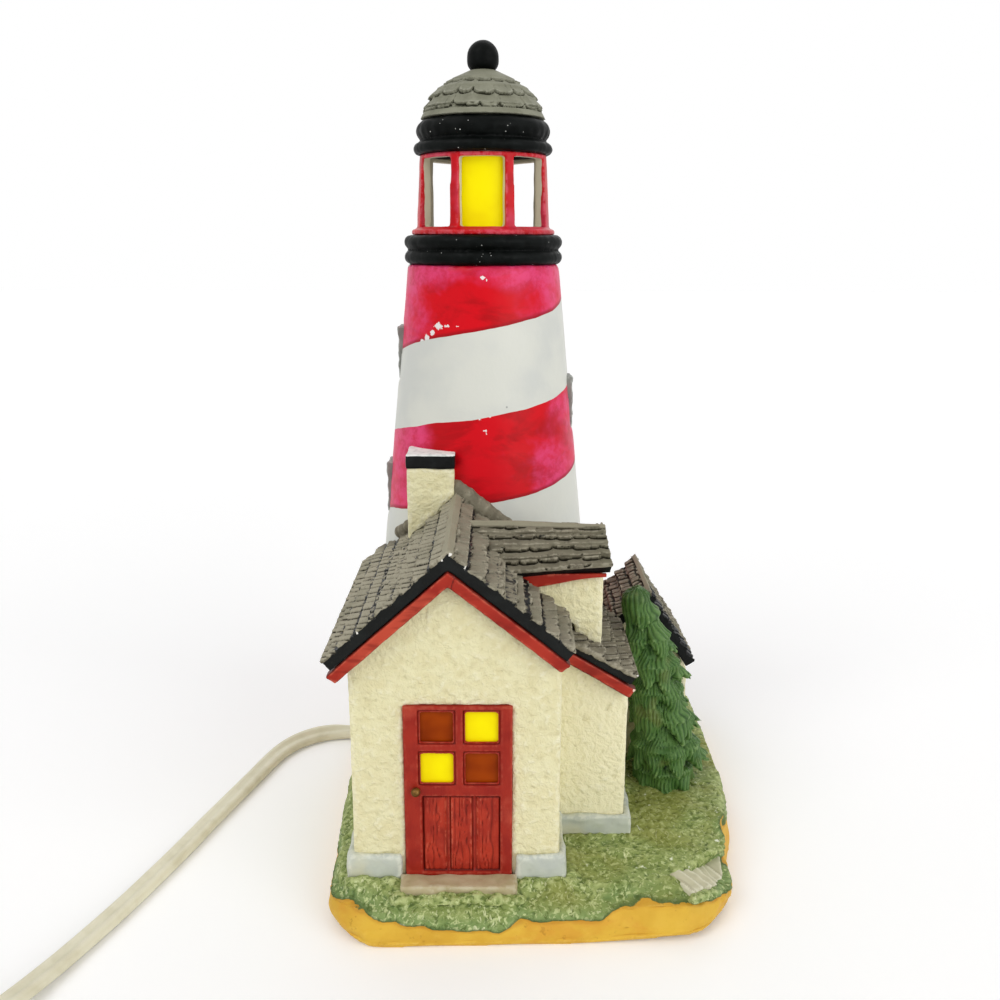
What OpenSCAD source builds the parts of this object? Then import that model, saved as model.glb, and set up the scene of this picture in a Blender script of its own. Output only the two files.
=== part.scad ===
// Lighthouse table lamp: a hollow painted ceramic lighthouse and cottage, lit from inside.
// Millimetres. +Z is up, the cottage door faces -Y, the origin is the middle of the underside.

/* [Ground] */
// Width of the base, left to right
base_w = 107; // [105:1:112]
// Depth of the base, front to back
base_d = 126; // [125:1:140]
// Corner radius of the base at the front left
base_corner = 13; // [10:1:16]
// Corner radius of the base at the front right
right_corner = 18; // [14:1:20]
// Corner radius of the base at the back
back_corner = 22; // [14:1:26]
// How far the front left corner is drawn in
left_taper = 2; // [0:0.5:3]
// How far the front right corner is drawn in
right_taper = 5; // [3:0.5:6]
// How far the front right corner is set back
right_set_back = 2.2; // [0:0.2:3]
// Height of the sand rim that the lamp stands on
rim_h = 4; // [3:0.25:5]
// Height of the grass round the houses
ground_z = 12.5; // [12:0.5:16]
// Width of the grass bank that slopes to the rim at the sides and back
bank_w = 2.5; // [2:0.25:3.5]
// Width of the grass bank at the front
bank_front = 8; // [5:0.5:9]
// Thickness of the rim's wall
rim_wall = 5; // [4:0.5:7]
// Thickness of the ceramic crust under the grass
crust = 4; // [3:0.5:5]
// Number of stone steps going down the bank
step_count = 5; // [4:1:6]
// Depth of one stone tread
tread = 3.1; // [2.8:0.1:3.4]
// Drop from one stone tread to the next
riser = 1; // [0.6:0.1:1.2]
// Length of a stone step
step_len = 8; // [6:0.5:9]

/* [Cottage] */
// Width of the cottage
cottage_w = 48.3; // [46:0.5:50]
// Left face of the cottage, from the middle of the base
cottage_left = -44.4; // [-45:0.2:-43]
// Distance from the front of the base to the cottage's front face
front_yard = 12.5; // [11:0.5:15]
// Thickness of the ceramic walls
wall = 3; // [2.5:0.25:3.5]
// Height of the ridge above the table
ridge_z = 92.6; // [88:0.5:96]
// Pitch of the main roof
roof_pitch = 42; // [38:1:44]
// Thickness of a roof, measured square to it
roof_t = 3.6; // [3:0.2:4.2]
// Height of the red board under a gable's edge, measured square to the roof
board_h = 3; // [2:0.25:3.5]
// How far the gable stands in front of the wall
gable_overhang = 3; // [2:0.5:4]
// How far the left eave reaches past the wall
left_eave = 3.4; // [2:0.2:4]
// How far the right eave reaches past the wall
right_eave = 1.9; // [1:0.1:2.5]
// How far the ridge lies left of the cottage's middle
ridge_shift = 1.25; // [0:0.25:2]
// Height of one shingle's thick end
shingle_step = 0.9; // [0.5:0.1:1.2]
// Height of the stone plinth
plinth_h = 6.3; // [5:0.5:8]
// How far the plinth stands out from the walls
plinth_proud = 1.5; // [1:0.25:2]

/* [Door] */
// Width of the door
door_w = 25; // [22:0.5:27]
// Height of the door
door_h = 42.5; // [38:0.5:45]
// Left edge of the door, from the left face of the cottage
door_left = 12.2; // [10:0.2:14]
// Side of one window pane
pane = 7.5; // [6:0.25:8]
// Gap between the two columns and the two rows of panes
pane_gap = 2.8; // [2:0.2:3.4]
// How far a pane lies behind the door's face
pane_set = 1; // [0.8:0.1:1.6]
// Width of the doorstep past the door
step_past = 1; // [0:0.5:2]
// Depth of the doorstep in front of the wall
doorstep_d = 6; // [5:0.5:7]
// Height of the doorstep above the grass
doorstep_rise = 1.1; // [0.8:0.1:1.6]
// Height of the doorstep's underside above the rim
doorstep_sink = 3.6; // [2:0.2:4]

/* [Wing] */
// Width of the side wing
wing_w = 17.5; // [15:0.5:18]
// How far the wing's front lies in front of the tower's axis
wing_ahead = 57; // [55:0.5:59]
// How far the wing's eave reaches past the wall
wing_eave_past = 1.7; // [1:0.1:2.5]
// Pitch of the wing's roof
wing_pitch = 33.4; // [30:0.2:35]
// Height of the wing's roof at its high edge
wing_roof_z = 66.9; // [65:0.5:68]

/* [Dormer] */
// How far the dormer's ridge lies in front of the tower's axis
dormer_ahead = 44; // [42:0.5:45]
// Height of the dormer's ridge
dormer_ridge_z = 90; // [88:0.5:91]
// Half the depth of the dormer's roof
dormer_half = 11; // [9:0.5:12]
// Pitch of the dormer's roof
dormer_pitch = 36; // [30:1:38]
// How far the dormer's end walls stand in from its eaves
dormer_eave = 2; // [1.5:0.25:3]
// How far the dormer reaches past the cottage's right wall
dormer_reach = 11; // [10:0.5:12]

/* [Chimney] */
// How far the chimney's left side lies left of the ridge
chimney_left = 13; // [12:0.25:14]
// Width of the chimney
chimney_w = 12.4; // [11:0.2:13]
// Depth of the chimney
chimney_d = 11.5; // [10:0.5:12]
// How far the chimney's front lies in front of the tower's axis
chimney_ahead = 28.5; // [28:0.25:30]
// How far the chimney rises past the ridge
chimney_above = 10.4; // [8:0.2:11]
// Height of the chimney's black cap
cap_h = 3.4; // [2.6:0.2:4]

/* [Rear house] */
// How far its front lies in front of the tower's axis
rear_ahead = 20; // [18:0.5:21]
// Width of the rear house
rear_w = 21.5; // [19:0.5:22]
// Depth of the rear house
rear_d = 27; // [22:1:29]
// Height of its ridge
rear_ridge_z = 64.8; // [60:0.5:68]
// Pitch of its right roof slope
rear_pitch_right = 57; // [52:1:58]
// How far its ridge lies in from its left wall
rear_ridge_in = 9.4; // [8.5:0.1:10.5]
// How far its left eave reaches past the wall
rear_eave_left = 3.5; // [3:0.25:4]
// How far its right eave reaches past the wall
rear_eave_right = 2; // [1:0.25:3]
// Pitch of its left roof slope
rear_pitch_left = 42; // [38:1:44]

/* [Fir tree] */
// Radius of the tree at its foot
tree_r = 10.9; // [9:0.3:11.4]
// Height of the tree
tree_h = 55; // [48:1:60]
// How far the tip leans to the left
tree_lean = 9; // [5:0.5:10]
// Number of tiers of branches
tree_tiers = 6; // [5:1:8]

/* [Tower] */
// Left-right place of the tower's axis
tower_x = -14.9; // [-15.2:0.1:-14.6]
// Distance from the back of the base to the tower's axis
tower_yard = 39; // [38:0.5:41]
// Radius of the tower at the ground
tower_r0 = 34.6; // [33:0.2:34.8]
// Radius of the tower at the gallery
tower_r1 = 20.3; // [19.8:0.1:21]
// Height of the gallery above the table
gallery_z = 150.6; // [146:0.2:160]
// Thickness of the tower's wall
tower_wall = 3.2; // [3:0.1:4]
// Width of a tower window's frame
frame_w = 9; // [7:0.5:10]
// Height of a tower window's frame
frame_h = 14.4; // [12:0.4:16]
// How far a window frame stands out of the tower
frame_proud = 1.5; // [1:0.1:2]
// How far a window frame reaches into the tower's wall
frame_sink = 1.6; // [1.2:0.1:2]
// Width of a window frame's border
frame_border = 1.6; // [1.2:0.1:2]
// Width of a glazing bar
glazing_bar = 0.8; // [0.6:0.1:1.2]

/* [Lantern] */
// Thickness of one black gallery ring
ring_t = 3.85; // [3.4:0.05:4.4]
// Outer radius of the gallery rings
gallery_r = 21.5; // [20.8:0.1:23]
// Radius of the lantern room at its foot
lantern_r0 = 17.9; // [17.5:0.1:18.5]
// Radius of the lantern room at its head
lantern_r1 = 16.9; // [16.7:0.1:17.4]
// Height of the lantern room
lantern_h = 20.5; // [18:0.5:24]
// Radius of the lantern room's inside
lantern_bore = 14.6; // [14:0.1:15]
// How far the lantern's foot ring stands out
foot_ring = 1.5; // [1:0.1:2]
// Height of the lantern's foot ring
foot_ring_h = 1.8; // [1.4:0.1:2.4]
// Height of a lantern window
window_h = 17.2; // [15:0.2:17.6]
// Half the angle that one lantern window takes
window_half = 20.5; // [17:0.5:22]
// Height of the dome's lower black ring
rim_ring_low = 3; // [2.5:0.1:3.5]
// Height of the dome's upper black ring
rim_ring_high = 5.8; // [5:0.1:6.5]
// Height of the shingled dome
dome_h = 12.3; // [11:0.1:14]
// Radius of the ball on the dome
ball_r = 4.2; // [3.5:0.1:4.6]

/* [Light] */
// Height of the shelf that holds the lampholder
shelf_z = 20; // [19:0.5:24]
// Thickness of the shelf
shelf_t = 3; // [2.5:0.25:4]
// Radius of the hole that the lampholder clips into
clip_hole_r = 14.4; // [14.2:0.1:15]
// Radius of the lampholder's body
holder_r = 12.5; // [12:0.1:12.8]
// Radius of the lampholder's flange
flange_r = 18; // [17:0.5:20]
// Radius of the bulb's screw base
bulb_base_r = 5.85; // [5.7:0.05:6]
// Largest radius of the bulb
bulb_r = 11; // [9:0.5:11.5]
// Length of the bulb's glass
glass_len = 42; // [36:1:46]

/* [Cord] */
// Width of the flat cord
cord_w = 5.5; // [5:0.1:5.6]
// Thickness of the flat cord
cord_t = 2.8; // [2.4:0.1:2.9]
// Height of the cord notch in the rim
notch_h = 4.5; // [4:0.25:5.5]
// Width of the cord notch
notch_w = 9; // [8:0.5:11]
// Radius of the coil's inner turn
coil_in = 22.5; // [22:0.5:24]
// Distance from one turn of the coil to the next
coil_pitch = 3.5; // [3.4:0.05:3.7]
// Diameter of the switch's thumb wheel
wheel_d = 21; // [20:0.5:22]
// Width of the switch's housing
switch_w = 17; // [16:0.5:18]
// Length of the switch's housing
switch_len = 42; // [40:1:44]
// Height of the switch's housing
switch_h = 9; // [8.4:0.2:10]
// Distance between the plug's blades
blade_gap = 12.7; // [12.5:0.1:12.9]
// Length of the plug's blades
blade_len = 17; // [16:0.5:18]

/* [Hidden] */

// Clearances
seat = 0.1;
run_gap = 0.3;
pin_gap = 0.05;
eps = 0.01;
far = 200;
pocket = 0.2;
round_fn = 96;

// The tower's radius at a height
ground_taper = (tower_r0 - tower_r1) / (gallery_z - ground_z);
function tower_r(z) = tower_r0 - ground_taper * (z - ground_z);

// Places that several pieces share
side_y = -6;
steps_in = 18.5;
steps_back = 6.5;
steps_x = base_w / 2 - steps_in;
steps_y = -base_d / 2 + steps_back;
steps_turn = 35;
steps_end = 6;
notch_back = 12;
tree_gap = 14.6;
tree_back = 25;
cottage_front = -base_d / 2 + front_yard;
tower_y = base_d / 2 - tower_yard;
notch_y = tower_y + notch_back;
cottage_right = cottage_left + cottage_w;
cottage_sink = 6;
cottage_back = tower_y - cottage_sink;
ridge_x = cottage_left + cottage_w / 2 - ridge_shift;
gable_front = cottage_front - gable_overhang;
left_run = ridge_x - cottage_left + left_eave + roof_t * sin(roof_pitch);
right_run = cottage_right - ridge_x + right_eave + roof_t * sin(roof_pitch);
plinth_top = ground_z + plinth_h;
wing_front = tower_y - wing_ahead;
wing_right = cottage_right + wing_w;
wing_gable_front = wing_front - gable_overhang;
wing_run = wing_w + wing_eave_past;
tree_x = wing_right + tree_gap;
tree_y = wing_front + tree_back;
rear_left = wing_right;
rear_right = rear_left + rear_w;
rear_front = tower_y - rear_ahead;
rear_gable_front = rear_front - gable_overhang;
rear_back = rear_front + rear_d;
rear_ridge_x = rear_left + rear_ridge_in;
dormer_y = tower_y - dormer_ahead;
dormer_right = cottage_right + dormer_reach;
dormer_front = dormer_y - dormer_half + dormer_eave;
dormer_back = dormer_y + dormer_half - dormer_eave;
door_x = cottage_left + door_left;
door_top = ground_z + door_h;
door_proud = 1;
door_face = cottage_front - door_proud;
door_t = wall + pocket;
pane_shift = 0.3;
pane_drop = 1.4;
pane_x0 = door_x + (door_w - 2 * pane - pane_gap) / 2 + pane_shift;
pane_z1 = door_top - pane_drop - pane;
pane_z0 = pane_z1 - pane_gap - pane;
film_t = 0.6;
pane_rebate = 0.8;
panel_depth = 0.6;
plank_count = 3;
plank_w = 5.5;
plank_gap = 0.6;
chimney_x = ridge_x - chimney_left;
chimney_front = tower_y - chimney_ahead;
chimney_top = ridge_z + chimney_above;
lantern_z = gallery_z + 2 * ring_t;
rings_z = lantern_z + lantern_h;
dome_z = rings_z + rim_ring_low + rim_ring_high;
dome_top = dome_z + dome_h;
holder_rise = 18;
holder_top = shelf_z + holder_rise;
flange_t = 2.6;
cap_z = 1.6;
contact_r = 1.4;
shell_rise = 4.5;
shell_floor = shelf_z + shell_rise;
thread_r = bulb_base_r + run_gap;
shell_t = 0.7;
shell_r = thread_r + shell_t;
contact_rise = 2.2;
base_bottom = shell_floor + contact_rise;
bulb_base_h = 11.5;
glass_foot = base_bottom + bulb_base_h;

// Draws a profile given in X and Z, from y0 back to y1
module along_y(y0, y1) {
    translate([0, y1, 0]) rotate([90, 0, 0]) linear_extrude(height = y1 - y0) children();
}

// Draws a profile given in Y and Z, from x0 right to x1
module along_x(x0, x1) {
    translate([x0, 0, 0]) rotate([90, 0, 90]) linear_extrude(height = x1 - x0) children();
}

// Draws a box between two corners
module block(a, b) {
    translate(a) cube(b - a);
}

// The base's outline as circles, each with its centre and radius, drawn in by inset
function base_circles(inset, front) =
    let (x = base_w / 2, y = base_d / 2, rl = base_corner, rr = right_corner, rb = back_corner)
    [[-x + left_taper + rl, -y + rl + front, rl - inset],
        [x - right_taper - rr, -y + right_set_back + rr + front, rr - inset],
        [x - rb, side_y, rb - inset], [x - rb, y - rb, rb - inset],
        [-x + rb, y - rb, rb - inset], [-x + rb, side_y, rb - inset]];

// A slab of the base's outline at height z, drawn in by inset, and by more at the front
module base_slab(z, inset, h = 0.2, front = 0) {
    translate([0, 0, z]) linear_extrude(height = h) hull()
        for (c = base_circles(inset, front)) translate([c[0], c[1]]) circle(r = c[2], $fn = 32);
}

// The outside of the ground, from the rim up to the grass at the houses
module mound_solid() {
    hull() {
        base_slab(rim_h, 0.3);
        base_slab(rim_h + (ground_z - rim_h) * 0.5, 1.2, 0.2, (bank_front - bank_w) * 0.3);
        base_slab(ground_z - 0.2, bank_w, 0.2, bank_front - bank_w);
    }
}

// The tower's outside as a solid, grown by a clearance, from z0 up
module tower_solid(grow = 0, z0 = 0) {
    translate([tower_x, tower_y, z0])
        cylinder(h = gallery_z - z0, r1 = tower_r(z0) + grow, r2 = tower_r1 + grow, $fn = round_fn);
}

// A point on a roof slope: s down the slope from the ridge, n out of its surface
function on_slope(rx, rz, side, pitch, s, n) =
    [rx + side * (s * cos(pitch) + n * sin(pitch)), rz - s * sin(pitch) + n * cos(pitch)];

// The stepped top line of a shingled slope, from the ridge to the eave
function courses(rx, rz, side, pitch, length, n) = [for (i = [0:n - 1]) for (k = [0, 1])
    on_slope(rx, rz, side, pitch, (i + k) * length / n, i + k == 0 || k == 1 ? 0 : -shingle_step)];

// Where the undersides of two slopes of one roof meet
function under_ridge(rx, rz, pl, pr, t) =
    let (d = (t / cos(pl) - t / cos(pr)) / (tan(pl) + tan(pr)))
    [rx + d, rz - t / cos(pl) + tan(pl) * d];

// Points in reverse order
function back(list) = [for (i = [len(list) - 1:-1:0]) list[i]];

// The outline of a two-sided roof
function gable_roof(rx, rz, pl, pr, run_l, run_r, nl, nr) = concat(
    back(courses(rx, rz, -1, pl, run_l / cos(pl), nl)),
    courses(rx, rz, 1, pr, run_r / cos(pr), nr),
    [on_slope(rx, rz, 1, pr, run_r / cos(pr), -roof_t)],
    [under_ridge(rx, rz, pl, pr, roof_t)],
    [on_slope(rx, rz, -1, pl, run_l / cos(pl), -roof_t)]);

// The outline of a red board pair under a gable roof's edge
module gable_boards(rx, rz, pl, pr, run_l, run_r) {
    polygon([
        on_slope(rx, rz, -1, pl, run_l / cos(pl) - 1, -roof_t),
        under_ridge(rx, rz, pl, pr, roof_t),
        on_slope(rx, rz, 1, pr, run_r / cos(pr) - 1, -roof_t),
        on_slope(rx, rz, 1, pr, run_r / cos(pr) - 1, -roof_t - board_h),
        under_ridge(rx, rz, pl, pr, roof_t + board_h),
        on_slope(rx, rz, -1, pl, run_l / cos(pl) - 1, -roof_t - board_h)]);
}

// The space under a gable roof, down to a floor
module under_gable(x0, x1, z0, rx, rz, pl, pr) {
    top = under_ridge(rx, rz, pl, pr, roof_t);
    polygon([[x0, z0], [x0, top[1] - tan(pl) * (top[0] - x0)], top,
        [x1, top[1] - tan(pr) * (x1 - top[0])], [x1, z0]]);
}

// Main roof
main_outline = gable_roof(ridge_x, ridge_z, roof_pitch, roof_pitch, left_run, right_run, 7, 7);
main_right = courses(ridge_x, ridge_z, 1, roof_pitch, right_run / cos(roof_pitch), 7);
main_left = courses(ridge_x, ridge_z, -1, roof_pitch, left_run / cos(roof_pitch), 7);

// Everything below the main roof's shingles
module main_roof_and_below() {
    along_y(gable_front - 1, cottage_back + 20)
        polygon(concat(back(main_left), main_right,
            [[ridge_x + right_run, 0], [ridge_x - left_run, 0]]));
}

// Wing roof: one slope, falling to the right
wing_tuck = 0.4;
wing_ridge_x = cottage_right - wing_tuck;
function wing_top_z(x) = wing_roof_z + shingle_step - tan(wing_pitch) * (x - wing_ridge_x);
wing_lip = 1;
wing_courses = courses(wing_ridge_x, wing_top_z(wing_ridge_x), 1, wing_pitch,
    wing_run / cos(wing_pitch) + wing_lip, 5);
wing_eave = on_slope(wing_ridge_x, wing_top_z(wing_ridge_x), 1, wing_pitch,
    wing_run / cos(wing_pitch) + wing_lip, -roof_t);
wing_drop = roof_t / cos(wing_pitch);
wing_board_drop = board_h / cos(wing_pitch);
function wing_under_z(x) = wing_top_z(x) - wing_drop;

// Ground

module sand_base() {
    color("#dba83a") difference() {
        hull() {
            base_slab(0, 0.8);
            base_slab(rim_h * 0.5, 0);
            base_slab(rim_h - 0.2, 0.3);
        }
        translate([0, 0, -1]) base_slab(0, rim_wall, rim_h + 2);
        cord_notch();
    }
}

// The notch in the rim's left side that lets the cord out
module cord_notch() {
    block([-base_w / 2 - 1, notch_y - notch_w / 2, -1],
        [-base_w / 2 + rim_wall + 2, notch_y + notch_w / 2, notch_h]);
}

module grass_mound() {
    color("#6f9150") difference() {
        mound_solid();
        ground_hollow();
        cord_notch();
        tower_solid(seat, rim_h - 1);
        crust_openings();
        steps_place() block([0, 0, -1], [step_count * tread + steps_end, step_len, far]);
    }
}

// The hollow under the crust
module ground_hollow() {
    translate([0, 0, -1])
        base_slab(0, rim_wall, ground_z - crust + 1, bank_front - bank_w);
}

// The openings in the crust that join the hollow houses to the hollow base
module crust_openings() {
    block([cottage_left + wall, cottage_front + wall, 0],
        [cottage_right - wall, tower_y - 12, far]);
    block([cottage_right - wall - 1, wing_front + wall, 0],
        [wing_right - wall, rear_front - wall, far]);
    block([rear_left + wall, rear_front + wall, 0],
        [rear_right - wall, rear_back - wall, far]);
}

// The flight of stone steps starts here and goes down to the right and back
module steps_place() {
    translate([steps_x, steps_y, rim_h]) rotate([0, 0, steps_turn]) children();
}

module stone_steps() {
    last = step_count - 1;
    color("#c9c1b0") difference() {
        intersection() {
            steps_place() for (i = [0:last])
                block([i * tread, 0, 0],
                    [(i + 1) * tread + (i == last ? steps_end : 0), step_len,
                        ground_z - rim_h - riser * i]);
            hull() {
                base_slab(rim_h, 0.3);
                base_slab(ground_z - 3, 0.6);
                base_slab(ground_z + 1, 1.2, 0.2, 1);
            }
        }
        ground_hollow();
    }
}

module doorstep() {
    color("#a79c86") difference() {
        block([door_x - step_past, cottage_front - doorstep_d, rim_h + doorstep_sink],
            [door_x + door_w + step_past, door_face, ground_z + doorstep_rise]);
        mound_solid();
        block([door_x - step_past - 1, door_face - seat, ground_z],
            [door_x + door_w + step_past + 1, cottage_front, far]);
    }
}

// Cottage

module cottage_plinth() {
    p = plinth_proud;
    color("#aeb4b3") difference() {
        block([cottage_left - p, cottage_front - p, ground_z],
            [cottage_right + p, cottage_back, plinth_top]);
        block([cottage_left, cottage_front, 0], [cottage_right, far, far]);
        block([cottage_right - 1, wing_front - p, 0], [far, far, far]);
        block([door_x - step_past, -far, 0], [door_x + door_w + step_past, 0, far]);
        tower_solid(seat);
    }
}

module cottage_walls() {
    color("#e9e2c0") difference() {
        along_y(cottage_front, cottage_back)
            under_gable(cottage_left, cottage_right, ground_z, ridge_x, ridge_z,
                roof_pitch, roof_pitch);
        along_y(cottage_front + wall, cottage_back - wall)
            under_gable(cottage_left + wall, cottage_right - wall, 0, ridge_x, ridge_z + 1,
                roof_pitch, roof_pitch);
        block([cottage_right - wall - 1, wing_front + wall, 0], [far, far, far]);
        block([door_x, -far, 0], [door_x + door_w, cottage_front + wall + 1, door_top]);
        tower_solid(seat);
    }
}

// The four pane openings: column and row count from the left and from below
module pane_place(column, row) {
    translate([pane_x0 + column * (pane + pane_gap), 0, row == 0 ? pane_z0 : pane_z1])
        children();
}

module door() {
    panel_top = pane_z0 - 3.2;
    color("#8f2a22") difference() {
        block([door_x, door_face, ground_z], [door_x + door_w, door_face + door_t, door_top]);
        for (column = [0, 1], row = [0, 1]) pane_place(column, row) {
            translate([0, -far, 0]) cube([pane, 2 * far, pane]);
            translate([-pane_rebate, door_face + pane_set, -pane_rebate])
                cube([pane + 2 * pane_rebate, far, pane + 2 * pane_rebate]);
        }
        block([door_x + 4, -far, ground_z + 2],
            [door_x + door_w - 3, door_face + panel_depth, panel_top]);
    }
    color("#8f2a22") for (i = [0:plank_count - 1])
        translate([door_x + 4.3 + i * (plank_w + plank_gap), door_face + 0.2, ground_z + 2])
            cube([plank_w, panel_depth - 0.2, panel_top - ground_z - 2]);
}

module door_knob() {
    color("#8a6a3a") translate([door_x + 2.8, door_face, pane_z0 - 1.5]) rotate([90, 0, 0])
        union() {
            cylinder(h = 0.8, r = 0.6, $fn = 24);
            translate([0, 0, 1.3]) sphere(r = 1.1, $fn = 24);
        }
}

// A coloured film in the rebate behind one pane opening
module pane_film(column, row) {
    side = pane_rebate - seat;
    pane_place(column, row) translate([-side, door_face + pane_set, -side])
        cube([pane + 2 * side, film_t, pane + 2 * side]);
}

module yellow_door_panes() {
    color("#ffe100") {
        pane_film(1, 1);
        pane_film(0, 0);
    }
}

module amber_door_panes() {
    color("#8c3e05") {
        pane_film(0, 1);
        pane_film(1, 0);
    }
}

module cottage_bargeboard() {
    color("#b0402e") along_y(gable_front, cottage_front)
        gable_boards(ridge_x, ridge_z, roof_pitch, roof_pitch, left_run, right_run);
}

module cottage_roof() {
    color("#6c665b") difference() {
        along_y(gable_front, cottage_back + 0.5) polygon(main_outline);
        tower_solid(seat);
    }
}

// Wing

module wing_plinth() {
    p = plinth_proud;
    color("#aeb4b3") difference() {
        block([cottage_right, wing_front - p, ground_z],
            [wing_right + p, rear_front, plinth_top]);
        block([0, wing_front, 0], [wing_right, far, far]);
    }
}

module wing_walls() {
    color("#e9e2c0") difference() {
        along_y(wing_front, rear_front)
            polygon([[cottage_right, ground_z], [cottage_right, wing_under_z(cottage_right)],
                [wing_right, wing_under_z(wing_right)], [wing_right, ground_z]]);
        block([0, wing_front + wall, 0], [wing_right - wall, rear_front - wall, far]);
        rear_roof_space();
        tower_solid(seat);
    }
}

module wing_bargeboard() {
    color("#b0402e") along_y(wing_gable_front, wing_front) difference() {
        polygon([[cottage_right, wing_under_z(cottage_right)],
            [wing_eave[0] - 0.4, wing_under_z(wing_eave[0] - 0.4)],
            [wing_eave[0] - 1.8, wing_under_z(wing_eave[0] - 1.8) - wing_board_drop],
            [cottage_right, wing_under_z(cottage_right) - wing_board_drop]]);
        gable_boards(ridge_x, ridge_z, roof_pitch, roof_pitch, left_run, right_run);
        polygon(main_outline);
    }
}

module wing_roof() {
    color("#6c665b") difference() {
        along_y(wing_gable_front, rear_front)
            polygon(concat(wing_courses, [wing_eave,
                [wing_ridge_x, wing_under_z(wing_ridge_x)]]));
        along_y(-far, far) polygon(main_outline);
        block([-far, -far, -far], [cottage_right, far, far]);
        block([0, dormer_front + wall, 0], [dormer_right - wall, far, far]);
        rear_roof_space();
        tower_solid(seat);
    }
}

// Everything below the wing roof's shingles, right of the cottage
module wing_roof_and_below() {
    along_y(wing_gable_front - 1, rear_front + 20)
        polygon(concat(wing_courses, [[wing_eave[0], 0], [wing_ridge_x, 0]]));
}

// Dormer

dormer_sink = 4;
dormer_lip = 1;
fascia_h = 2.7;
fascia_drop = 0.9;
fascia_t = 1.2;
fascia_past = 0.6;
dormer_outline = gable_roof(dormer_y, dormer_ridge_z, dormer_pitch, dormer_pitch,
    dormer_half, dormer_half, 4, 4);

module dormer_walls() {
    color("#e9e2c0") difference() {
        along_x(ridge_x, dormer_right)
            under_gable(dormer_front, dormer_back, wing_under_z(dormer_right) - dormer_sink,
                dormer_y, dormer_ridge_z, dormer_pitch, dormer_pitch);
        along_x(ridge_x - 1, dormer_right - wall)
            under_gable(dormer_front + wall, dormer_back - wall, 0,
                dormer_y, dormer_ridge_z + 1, dormer_pitch, dormer_pitch);
        main_roof_and_below();
        wing_roof_and_below();
        tower_solid(seat);
    }
}

module dormer_fascia() {
    under = dormer_ridge_z - roof_t / cos(dormer_pitch)
        - tan(dormer_pitch) * (dormer_half - dormer_eave) - fascia_drop;
    color("#b0402e") difference() {
        block([ridge_x, dormer_front - fascia_t, under - fascia_h],
            [dormer_right + fascia_past, dormer_front, under]);
        main_roof_and_below();
    }
}

module dormer_roof() {
    color("#6c665b") difference() {
        along_x(ridge_x, dormer_right + dormer_lip) polygon(dormer_outline);
        main_roof_and_below();
        tower_solid(seat);
    }
}

// Chimney

module chimney() {
    color("#e9e2c0") difference() {
        block([chimney_x, chimney_front, wing_roof_z],
            [chimney_x + chimney_w, chimney_front + chimney_d, chimney_top - cap_h]);
        main_roof_and_below();
        tower_solid(seat);
    }
}

module chimney_cap() {
    color("#15191a") difference() {
        block([chimney_x, chimney_front, chimney_top - cap_h],
            [chimney_x + chimney_w, chimney_front + chimney_d, chimney_top]);
        tower_solid(seat);
    }
}

// Rear house

rear_lip = 1;
rear_run_left = rear_ridge_x - rear_left + rear_eave_left;
rear_run_right = rear_right - rear_ridge_x + rear_eave_right;
rear_outline = gable_roof(rear_ridge_x, rear_ridge_z, rear_pitch_left, rear_pitch_right,
    rear_run_left, rear_run_right, 4, 6);

// The rear roof with everything above it, kept clear by the wing's roof
module rear_roof_space() {
    along_y(rear_gable_front - seat, far) polygon(rear_outline);
}

module rear_house_walls() {
    color("#e9e2c0") difference() {
        along_y(rear_front, rear_back)
            under_gable(rear_left, rear_right, ground_z, rear_ridge_x, rear_ridge_z,
                rear_pitch_left, rear_pitch_right);
        along_y(rear_front + wall, rear_back - wall)
            under_gable(rear_left + wall, rear_right - wall, 0, rear_ridge_x,
                rear_ridge_z + 1, rear_pitch_left, rear_pitch_right);
        tower_solid(seat);
    }
}

module rear_house_roof() {
    color("#6c665b") difference() {
        along_y(rear_gable_front, rear_back + rear_lip) polygon(rear_outline);
        tower_solid(seat);
    }
}

// Fir tree

module fir_tree() {
    step = tree_h / tree_tiers;
    color("#3f7d3c") difference() {
        for (i = [0:tree_tiers - 1]) {
            share = i / tree_tiers;
            translate([tree_x - tree_lean * share, tree_y, ground_z + i * step])
                cylinder(h = step * (i < tree_tiers - 1 ? 1.1 : 1),
                    r1 = tree_r * (1 - 0.5 * share), r2 = tree_r * (0.66 - 0.54 * share),
                    $fn = 32);
        }
        translate([run_gap, 0, run_gap]) wing_roof_and_below();
    }
}

// Tower

glazing_sill = 0.4;
pane_depth = 0.4;
arch_half = 12;
arch_foot = 8;
arch_head = 34;
arch_depth = 45;
arch_inside = 5;

// Each window: degrees round from the front, and the height of its middle as a share of the
// gallery's height
window_at = [for (w = [[-90, 0.842], [-90, 0.5883], [90, 0.7503]]) [w[0], w[1] * gallery_z]];

// A window frame's block, from inside the wall to in front of it
module window_block(at, w, h, inner, outer) {
    translate([tower_x, tower_y, at[1] - h / 2]) rotate([0, 0, at[0]])
        translate([-w / 2, -tower_r(at[1]) - outer, 0]) cube([w, outer + inner, h]);
}

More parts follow.
